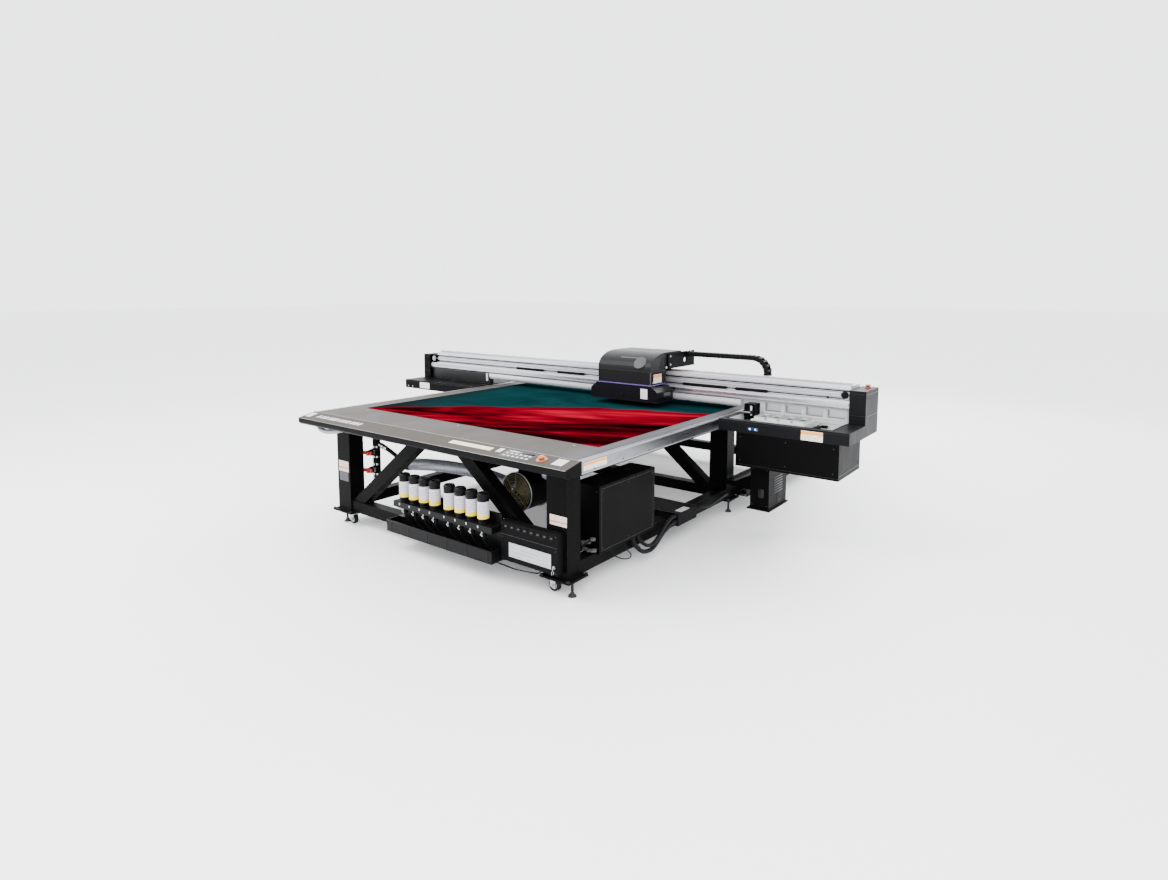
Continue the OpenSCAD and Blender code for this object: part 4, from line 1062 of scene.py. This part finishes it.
def caster_details():
    for i, (x, y) in enumerate(CASTERS, 1):
        wx = x - CASTER_TRAIL
        hub = Piece(f"caster_hub_{i}", f"wheel_{i}", "zinc")
        for side in (-1, 1):
            hub.lathe([(0.0056, 0.0), (0.024, 0.0), (0.024, 0.0008), (0.011, 0.0016), (0.0056, 0.0016)],
                      (wx, y + side * 0.0130, WHEEL_Z), Vector((0, side, 0)))
        hub.done("caster_steel")
        nuts = Piece(f"caster_nuts_{i}", f"caster_{i}", "steel")
        for side in (-1, 1):
            nuts.rod((wx, y + side * 0.021, WHEEL_Z), (wx, y + side * 0.026, WHEEL_Z), 0.009, n=6)
        nuts.loop((x, y, 0.0885), Z, 0.0262, 0.0022, 32)
        nuts.done("machined_steel")
        plate = Piece(f"caster_plate_bolts_{i}", "root", "bolt")
        for dx in (-0.034, 0.034):
            for dy in (-0.034, 0.034):
                plate.bolt((x + dx, y + dy, 0.094), -Z, 0.006, 0.0055)
        plate.done()


def foot_details():
    nuts = Piece("foot_lock_nuts", "root", "bolt")
    for side in (-1, 1):
        for y0 in LEG_ROWS:
            x, y = TABLE_X + side * 1.083, y0 + LEG_D / 2
            nuts.rod((x, y, 0.076), (x, y, 0.084), 0.0145, n=6)
            nuts.lathe([(0.0082, 0.0), (0.0255, 0.0), (0.0265, 0.0015), (0.0255, 0.003), (0.0082, 0.003)],
                       (x, y, 0.0002))
            for k in range(14):
                nuts.loop((x, y, 0.026 + 0.0035 * k), Z, 0.0080, 0.0007, 16)
    nuts.done()


# ---- gantry ----

BEAM_X0, BEAM_X1, BEAM_Y = -2.110, 2.092, 0.060
STATION_FRONT, STATION_LEFT = -0.283, 1.305


def beam_details():
    """Painted slot shade, strips, joints, a painted shadow under the beam, and screws along the beam's front and
    top.
    """
    # Painted shade: black strips at the back of the beam's grooves and in its top slots stand for the dark inside
    # them; four short black blocks also fill the lower groove.
    dark = Piece("beam_slot_shade", "gantry", "chain")
    dark.box((BEAM_X0 + 0.01, 0.0715, 1.0575), (BEAM_X1 - 0.01, 0.0755, 1.0635), 0.0005)
    dark.box((BEAM_X0 + 0.10, BEAM_Y + 0.060, 1.0962), (BEAM_X1 - 0.01, BEAM_Y + 0.068, 1.0976))
    dark.box((BEAM_X0 + 0.10, BEAM_Y + 0.150, 1.0962), (BEAM_X1 - 0.01, BEAM_Y + 0.158, 1.0976))
    for x0, x1 in ((-0.93, -0.62), (-0.44, -0.16), (0.82, 1.18), (1.26, 1.50)):
        dark.box((x0, 0.0545, 1.0005), (x1, 0.0785, 1.0205), 0.0008)
    dark.box((BEAM_X0 + 0.01, 0.0760, 1.0085), (BEAM_X1 - 0.01, 0.0782, 1.0120), 0.0004)
    dark.done()
    line = Piece("beam_scale_strip", "gantry", "plate")
    line.box((BEAM_X0 + 0.02, 0.0628, 1.0290), (BEAM_X1 - 0.02, 0.0642, 1.0395), 0.0003)
    line.done()
    # Painted shadow: a dark grey strip in the gap under the beam, along the top of its lower cover.
    shadow = Piece("beam_cover_shadow", "gantry", "grey")
    shadow.box((-1.289, 0.0580, 0.9345), (1.300, 0.0622, 0.9392), 0.0004)
    shadow.done()
    screws = Piece("beam_screws", "gantry", "steel")
    for i in range(34):
        x = BEAM_X0 + 0.13 + i * 0.121
        screws.screw((x, 0.1075, 1.112), Z, 0.0042)
        screws.screw((x, BEAM_Y - 0.0158, 0.970), -Y, 0.0034)
        if i % 4 == 1:
            screws.screw((x, BEAM_Y, 1.085), -Y, 0.004)
    screws.done("machined_steel")
    cover = Piece("lower_cover_screws", "gantry", "zinc")
    for i in range(9):
        cover.screw((-1.26 + i * 0.315, 0.062, 0.924), -Y, 0.0035)
    cover.box((0.004, 0.0612, 0.905), (0.006, 0.0622, 0.933))
    cover.done()
    strip = Piece("left_light_strip", "gantry", "liner")
    strip.box((-1.330, 0.0585, 0.860), (-1.306, 0.0620, 0.932), 0.001)
    strip.done()


def tower_details():
    seams = Piece("tower_seams", "gantry", "bolt")
    for x0, x1 in ((-2.200, -2.110), (2.092, 2.200)):
        seams.box((x0 + 0.006, 0.0330, 0.905), (x1 - 0.006, 0.0342, 0.9075))
        seams.box((x0 + 0.006, 0.0330, 1.050), (x1 - 0.006, 0.0342, 1.0525))
    seams.box((2.1995, 0.060, 0.900), (2.2008, 0.300, 0.9025))
    seams.box((2.1995, 0.060, 1.046), (2.2008, 0.300, 1.0485))
    seams.box((-2.2008, 0.060, 0.900), (-2.1995, 0.300, 0.9025))
    seams.done()
    screws = Piece("tower_screws", "gantry", "bolt")
    for x in (-2.2005, 2.2000):
        out = Vector((math.copysign(1, x), 0, 0))
        for y in (0.080, 0.275):
            for z in (0.925, 1.025):
                screws.screw((x, y, z), out, 0.004)
    screws.done()
    hole = Piece("belt_end_cap", "gantry", "rubber")
    hole.lathe([(0.001, 0.0), (0.0245, 0.0), (0.0245, 0.0035), (0.020, 0.006), (0.001, 0.006)],
               (2.060, 0.0400, 1.036), -Y)
    hole.lathe([(0.001, 0.0), (0.0085, 0.0), (0.0085, 0.003), (0.001, 0.003)],
               (1.948, 0.0435, 1.013), -Y)
    hole.done()
    for body, side, name in (("left_stop", -1, "left"), ("right_stop", 1, "right")):
        ring = Piece(f"{name}_stop_ring", "gantry", "orange")
        ring.lathe([(0.0205, 0.0), (0.0260, 0.0), (0.0260, 0.0025), (0.0235, 0.0045), (0.0205, 0.0045)],
                   (side * 2.150, 0.240, 1.072))
        ring.done("stop_orange")
        cap = Piece(f"{name}_stop_grip", body, "red")
        cap.loop((side * 2.150, 0.240, 1.0885), Z, 0.0175, 0.0024)
        cap.done("stop_red")


def arm_details():
    label = Piece("left_arm_label", "gantry", "label_white")
    label.label((-1.910, -0.208, 0.795), X, Z, (0.140, 0.056))
    label.done()
    screws = Piece("left_arm_screws", "gantry", "zinc")
    for x in (-2.155, -2.090):
        screws.screw((x, -0.208, 0.774), -Y, 0.006)
    for x in (-2.17, -1.72, -1.28):
        for y in (-0.180, -0.020):
            screws.screw((x, y, 0.835), Z, 0.004)
    screws.done()
    seam = Piece("left_arm_seam", "gantry", "bolt")
    seam.box((-2.198, -0.2092, 0.8245), (-1.247, -0.2078, 0.8262))
    seam.done()


def station_details():
    seams = Piece("station_seams", "gantry", "bolt")
    seams.box((STATION_LEFT + 0.004, STATION_FRONT - 0.0010, 0.8320), (2.196, STATION_FRONT + 0.001, 0.8336))
    seams.box((2.139, -0.281, 0.560), (2.1412, 0.148, 0.5625))
    seams.box((1.438, -0.2842, 0.5445), (2.138, -0.2828, 0.5462))
    seams.done()
    screws = Piece("station_screws", "gantry", "bolt")
    for x in (1.330, 1.620, 1.900, 2.175):
        screws.screw((x, STATION_FRONT + 0.020, 0.845), Z, 0.004)
    for y in (-0.18, -0.02, 0.10):
        screws.screw((2.180, y, 0.845), Z, 0.0045)
        screws.screw((1.326, y, 0.845), Z, 0.0045)
    for x in (1.470, 1.790, 2.105):
        for z in (0.575, 0.735):
            screws.screw((x, STATION_FRONT, z), -Y, 0.0045)
    for y in (-0.24, 0.11):
        for z in (0.585, 0.740):
            screws.screw((2.140, y, z), X, 0.0045)
    screws.done()
    window = Piece("station_light_window", "gantry", "blue_glow")
    window.box((1.520, STATION_FRONT - 0.0012, 0.785), (1.596, STATION_FRONT, 0.807), 0.0004)
    window.done()
    lights = Piece("station_lights", "gantry", "blue_light")
    for x in (1.537, 1.577):
        lights.lathe([(0.0001, 0.0), (0.0065, 0.0), (0.0065, 0.001), (0.0045, 0.002), (0.0001, 0.0025)],
                     (x, STATION_FRONT - 0.001, 0.796), -Y)
    lights.done()
    label = Piece("station_label", "gantry", "label_warn")
    label.label((1.963, STATION_FRONT, 0.800), X, Z, (0.142, 0.062))
    label.done()
    gasket = Piece("station_gasket", "gantry", "rubber")
    gasket.box((1.343, -0.245, 0.8452), (2.082, -0.241, 0.8475), 0.0008)
    gasket.box((2.078, -0.245, 0.8452), (2.082, 0.030, 0.8475), 0.0008)
    gasket.done()


def tray_details():
    """Screen mullions, catch bars and drain of the parking tray."""
    bars = Piece("tray_bars", "gantry", "liner")
    for i in range(5):
        x = 1.470 + 0.150 * i - (0.006 if i == 4 else 0)
        bars.box((x - 0.003, 0.0925, 0.842), (x + 0.003, 0.0965, 0.932), 0.0008)
    bars.box((1.442, 0.0920, 0.926), (2.076, 0.0965, 0.9335), 0.0008)
    bars.box((1.442, 0.0920, 0.850), (2.076, 0.0965, 0.8555), 0.0008)
    bars.done("pale_liner")
    rod = Piece("tray_rods", "gantry", "zinc")
    rod.rod((1.900, -0.225, 0.822), (1.900, 0.080, 0.822), 0.004)
    rod.rod((1.450, 0.030, 0.836), (2.070, 0.030, 0.836), 0.004)
    rod.box((1.935, -0.205, 0.7962), (2.055, -0.050, 0.7985), 0.0006)
    rod.done()
    dark = Piece("tray_service_parts", "gantry", "box")
    dark.box((1.905, -0.215, 0.7960), (1.930, -0.020, 0.826), 0.003)
    for i in range(3):
        dark.box((1.620 + 0.14 * i, 0.040, 0.7960), (1.665 + 0.14 * i, 0.080, 0.812), 0.003)
    dark.done()
    slot = Piece("wiper_housing_slot", "gantry", "liner")
    slot.box((1.398, 0.0225, 0.830), (1.412, 0.0242, 0.900), 0.0005)
    slot.done()
    rollers = Piece("cap_seals", "caps", "grey")
    for i in range(4):
        x = 1.516 + 0.092 * i
        for lo, hi in (((x, -0.170), (x + 0.006, -0.020)), ((x + 0.066, -0.170), (x + 0.072, -0.020)),
                       ((x, -0.170), (x + 0.072, -0.164)), ((x, -0.026), (x + 0.072, -0.020))):
            rollers.box((*lo, 0.8655), (*hi, 0.8672), 0.0006)
        rollers.box((x + 0.012, -0.158, 0.8520), (x + 0.060, -0.032, 0.8545), 0.001)
    rollers.done()
    felt = Piece("wiper_clamp", "wiper", "steel")
    felt.box((1.3565, -0.0375, 0.857), (1.4255, -0.0345, 0.867), 0.001)
    for x in (1.366, 1.391, 1.416):
        felt.screw((x, -0.0375, 0.8612), -Y, 0.0028)
    felt.done()


def drive_details():
    parts = Piece("drive_box_details", "gantry", "bolt")
    for y in (-0.14, 0.10):
        for z in (0.245, 0.500):
            parts.screw((1.637, y, z), X, 0.005)
    for x in (1.515, 1.622):
        for z in (0.245, 0.500):
            parts.screw((x, -0.170, z), -Y, 0.005)
    parts.box((1.560, -0.1735, 0.300), (1.600, -0.170, 0.360), 0.002)
    parts.done()
    vents = Piece("drive_box_vents", "gantry", "bolt")
    for i in range(7):
        z = 0.320 + 0.018 * i
        vents.box((1.637, -0.090, z), (1.6395, 0.060, z + 0.006), 0.001)
    vents.done()
    window = Piece("drive_box_fan", "gantry", "grey")
    for i in range(4):
        window.loop((1.6385, 0.010, 0.275), X, 0.010 + 0.009 * i, 0.0014, 28)
    window.done()


# ---- carriage ----

COVER_X0, COVER_X1, COVER_FRONT = 0.204, 0.692, -0.205


def carriage_details():
    seam = Piece("carriage_seams", "carriage", "bolt")
    seam.box((COVER_X0 + 0.002, COVER_FRONT - 0.0010, 1.1095), (COVER_X1 - 0.002, COVER_FRONT + 0.0002, 1.1115))
    seam.box((COVER_X1 - 0.0002, -0.198, 1.1095), (COVER_X1 + 0.0010, 0.014, 1.1115))
    seam.box((COVER_X1 - 0.0002, 0.010, 1.014), (COVER_X1 + 0.0008, 0.012, 1.155))
    seam.done()
    # Painted highlight: a grey strip down the cover's front right corner.
    edge = Piece("carriage_corner_highlight", "carriage", "grey")
    edge.box((COVER_X1 - 0.005, COVER_FRONT - 0.0008, 1.014), (COVER_X1 + 0.0008, COVER_FRONT + 0.005, 1.109), 0.001)
    edge.done()
    vents = Piece("carriage_vents", "carriage", "chain")
    for i in range(9):
        z = 1.126 + 0.0095 * i
        vents.box((COVER_X1, -0.095 + 0.006 * i, z), (COVER_X1 + 0.0016, 0.075, z + 0.0042), 0.0006)
        vents.box((COVER_X0 - 0.0016, -0.095 + 0.006 * i, z), (COVER_X0, 0.075, z + 0.0042), 0.0006)
    vents.done("chain_plastic")
    screws = Piece("carriage_screws", "carriage", "zinc")
    for x, out in ((COVER_X1, X), (COVER_X0, -X)):
        screws.screw((x, 0.065, 1.222), out, 0.006)
        screws.screw((x, 0.215, 1.178), out, 0.005)
        screws.screw((x, -0.175, 1.028), out, 0.004)
    screws.done()
    disc = Piece("carriage_badge_disc", "carriage", "grey")
    disc.place = brow_place(0.585, 158)
    disc.lathe([(0.0001, 0.0), (0.052, 0.0), (0.052, 0.0012), (0.049, 0.0022), (0.0001, 0.0024)],
               (0, 0, 0), n=48)
    disc.done()
    mark = Piece("carriage_mark", "carriage", "grey")
    mark.place = brow_place(0.470, 140)
    mark.box((-0.085, -0.007, 0.0), (0.085, 0.007, 0.0010), 0.0004)
    mark.done()
    label = Piece("carriage_label_side", "carriage", "label_warn")
    label.label((COVER_X1, -0.105, 1.056), Y, Z, (0.115, 0.066))
    label.done()
    label = Piece("carriage_label_front", "carriage", "label_white")
    label.label((0.640, -0.215, 0.945), X, Z, (0.060, 0.076))
    label.done()
    lower = Piece("skirt_details", "carriage", "rubber")
    lower.box((0.139, -0.2165, 0.8795), (0.757, -0.2135, 0.889), 0.001)
    lower.box((0.7558, -0.215, 0.8795), (0.7585, 0.016, 0.889), 0.001)
    lower.box((0.1375, -0.215, 0.8795), (0.1402, 0.016, 0.889), 0.001)
    lower.lathe([(0.0001, 0.0), (0.016, 0.0), (0.016, 0.003), (0.012, 0.005), (0.0001, 0.005)],
                (0.440, -0.215, 0.928), -Y)
    lower.done()
    sensor = Piece("skirt_sensor", "carriage", "grey")
    sensor.box((0.7565, -0.120, 0.925), (0.7620, -0.030, 0.952), 0.002)
    sensor.done()
    bracket = Piece("chain_bracket_details", "carriage", "zinc")
    for y, z in ((0.060, 1.215), (0.060, 1.150), (0.325, 1.232), (0.375, 1.232)):
        bracket.bolt((0.706, y, z), X, 0.006, 0.005)
    bracket.done()
    lens = Piece("lamp_windows", "carriage", "blue_glow")
    for x0 in (0.163, 0.689):
        lens.box((x0, -0.160, 0.8985), (x0 + 0.044, -0.020, 0.9000), 0.0004)
    lens.done()


def brow_place(x, angle):
    """A frame on the cover's rounded brow: Z out of the surface, X along the carriage."""
    a = math.radians(angle)
    point = Vector((x, 0.020 + 0.225 * math.cos(a), 1.135 + 0.113 * math.sin(a)))
    out = Vector((0, math.cos(a) / 0.225, math.sin(a) / 0.113)).normalized()
    up = out.cross(X)
    return Matrix.Translation(point) @ Matrix((
        (1, up.x, out.x, 0), (0, up.y, out.y, 0), (0, up.z, out.z, 0), (0, 0, 0, 1)))


# ---- cable chains ----


def chain_links(piece, stations, width_dir, width, thick):
    """Side plates, cross bars and pins for each link between two stations of the chain's line."""
    for (p, q) in zip(stations, stations[1:]):
        ahead = (q - p).normalized()
        out = ahead.cross(width_dir).normalized()
        length = (q - p).length
        middle = (p + q) / 2
        place = Matrix((
            (ahead.x, width_dir.x, out.x, middle.x), (ahead.y, width_dir.y, out.y, middle.y),
            (ahead.z, width_dir.z, out.z, middle.z), (0, 0, 0, 1)))
        piece.place = place
        half, w, t = length / 2, width / 2, thick / 2
        for side in (-1, 1):
            y0, y1 = sorted((side * w, side * (w - 0.005)))
            piece.box((-half * 0.96, y0, -t), (half * 0.62, y1, t), 0.0015)
            y0, y1 = sorted((side * (w - 0.005), side * (w - 0.008)))
            piece.box((half * 0.30, y0, -t * 0.8), (half * 1.25, y1, t * 0.8), 0.001)
            piece.rod((half * 0.92, side * (w - 0.009), 0), (half * 0.92, side * (w + 0.0003), 0),
                      t * 0.42, n=12)
        for z in (-t, t - 0.004):
            piece.box((-half * 0.45, -w + 0.004, z), (half * 0.35, w - 0.004, z + 0.004), 0.001)


def arc_line(centre, radius, ahead, up, n):
    return [centre + radius * (math.sin(a) * ahead + math.cos(a) * up)
            for a in (math.pi * i / n for i in range(n + 1))]


def cable_chain(name, node, start_low, bend, start_high, radius, ahead, width_dir, width,
                thick, pitch, parent):
    """Three pieces, baked in place: the run, the bend and the lying run; on the machine the bend travels half as far
    as the run.
    """
    mid = (start_high.z + start_low.z) / 2
    centre = Vector((*(Vector((start_low.x, start_low.y)) +
                       Vector((ahead.x, ahead.y)) * (bend - start_low.dot(ahead))), mid))
    top, low = centre + Z * radius, centre - Z * radius

    def stations(a, b):
        n = max(1, round((b - a).length / pitch))
        return [a.lerp(b, i / n) for i in range(n + 1)]

    made = []
    for part, line in (("run", stations(start_high, top)),
                       ("bend", arc_line(centre, radius, ahead, Z, round(math.pi * radius / pitch))),
                       ("base", stations(low, start_low))):
        piece = Piece(f"{name}_{part}", parent, "chain")
        chain_links(piece, line, width_dir, width, thick)
        made.append(piece.done("chain_plastic", ride=False))
    run, curve, base = made
    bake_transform(run)
    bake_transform(curve)
    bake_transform(base)
    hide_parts(node)


def cable_chains():
    cable_chain("carriage_chain", "cable_chain", Vector((0.0, 0.350, 0.995)), 1.275,
                Vector((0.706, 0.350, 1.215)), 0.110, X, Y, 0.076, 0.036, 0.0335, "gantry")
    cable_chain("gantry_chain", "table_chain", Vector((1.202, 0.355, 0.148)), 1.012,
                Vector((1.202, 0.1065, 0.288)), 0.070, Y, -X, 0.058, 0.034, 0.0275, "root")
    ends = Piece("chain_end_brackets", "gantry", "zinc")
    ends.box((-0.030, 0.318, 0.9702), (0.010, 0.382, 0.9740), 0.001)
    ends.done()
    clip = Piece("gantry_chain_clip", "root", "zinc")
    clip.box((1.176, 0.345, 0.1302), (1.228, 0.372, 0.1335), 0.001)
    clip.done()


# ---- small things under the table ----

CONDUIT = [(1.128, -0.330, 0.160), (1.150, -0.250, 0.170), (1.166, -0.120, 0.158),
           (1.164, 0.060, 0.170), (1.140, 0.200, 0.160)]


PANEL_HOSE = [(-1.120, -1.850, 0.742), (-1.060, -1.872, 0.728), (-0.980, -1.878, 0.722),
              (-0.900, -1.862, 0.730), (-0.850, -1.835, 0.742)]


def underside_details():
    hose = Piece("panel_air_hose", "root", "hose")
    hose.tube(curve_points(PANEL_HOSE, 20), 0.0165, 16, lambda i: 1.0 + 0.07 * math.cos(i * 1.6))
    hose.done("hose")
    plate = Piece("blower_back_plate", "root", "box")
    plate.box((0.350, -1.1620, 0.572), (0.640, -1.1560, 0.7595), 0.002)
    plate.box((0.640, -1.2400, 0.640), (0.646, -1.1560, 0.7595), 0.002)
    plate.done("dark_cover")
    conduit = Piece("side_conduit", "root", "cable")
    conduit.tube(curve_points(CONDUIT, 20), 0.011, 14, lambda i: 1.0 + 0.07 * math.cos(i * 2.2))
    conduit.done()
    ribs = Piece("table_ribs", "root", "frame")
    for y in (-1.20, -0.75, -0.30, 0.75, 1.20):
        ribs.box((-0.900, y - 0.020, 0.722), (0.970, y + 0.020, 0.7598), 0.002)
    ribs.done("black_frame")
    ports = Piece("suction_ports", "root", "box")
    for x in (-0.8, -0.2, 0.4, 0.9):
        for y in (-0.5, 0.9):
            ports.rod((x, y, 0.730), (x, y, 0.7615), 0.027, n=24)
            ports.rod((x, y, 0.752), (x, y, 0.7595), 0.036, n=24)
    ports.done("dark_cover")


# ---- stage ----


def studio():
    floor = Shader("floor_paint")
    cloud = floor.noise(0.8, 4.0)
    surface = floor.done(floor.mix(cloud, (0.92, 0.92, 0.92), (0.94, 0.94, 0.94)), 0.55)
    mesh = bpy.data.meshes.new("floor")
    size = 60.0
    mesh.from_pydata([(-size, -size, 0), (size, -size, 0), (size, size, 0), (-size, size, 0)], [],
                     [(0, 1, 2, 3)])
    mesh.materials.append(surface)
    made = bpy.data.objects.new("floor", mesh)
    bpy.context.scene.collection.objects.link(made)
    world = bpy.data.worlds.new("studio")
    world.use_nodes = True
    background = world.node_tree.nodes["Background"]
    background.inputs["Color"].default_value = (0.97, 0.98, 1.0, 1.0)
    background.inputs["Strength"].default_value = 3.3
    bpy.context.scene.world = world
    for name, at, aim, size, power in (
            ("key_light", (-3.5, -5.0, 6.0), (0.0, -0.4, 0.6), 4.0, 700.0),
            ("front_light", (4.5, -5.5, 4.0), (0.5, 0.0, 0.7), 4.0, 300.0),
            ("back_light", (1.0, 5.5, 5.0), (0.0, 0.3, 0.9), 5.0, 400.0)):
        data = bpy.data.lights.new(name, "AREA")
        data.size = size
        data.energy = power
        light = bpy.data.objects.new(name, data)
        light.location = at
        light.rotation_euler = (Vector(aim) - Vector(at)).to_track_quat("-Z", "Y").to_euler()
        bpy.context.scene.collection.objects.link(light)


dress_nodes()
media_sheet()
panel_labels()
panel_marks()
panel_keys()
panel_stop()
panel_trim()
table_edges()
frame_details()
leg_labels()
cabinet_details()
blower_details()
hoses()
valve_details()
bottles()
ink_details()
chip_panel()
caster_details()
foot_details()
beam_details()
tower_details()
arm_details()
station_details()
tray_details()
drive_details()
carriage_details()
cable_chains()
underside_details()
studio()
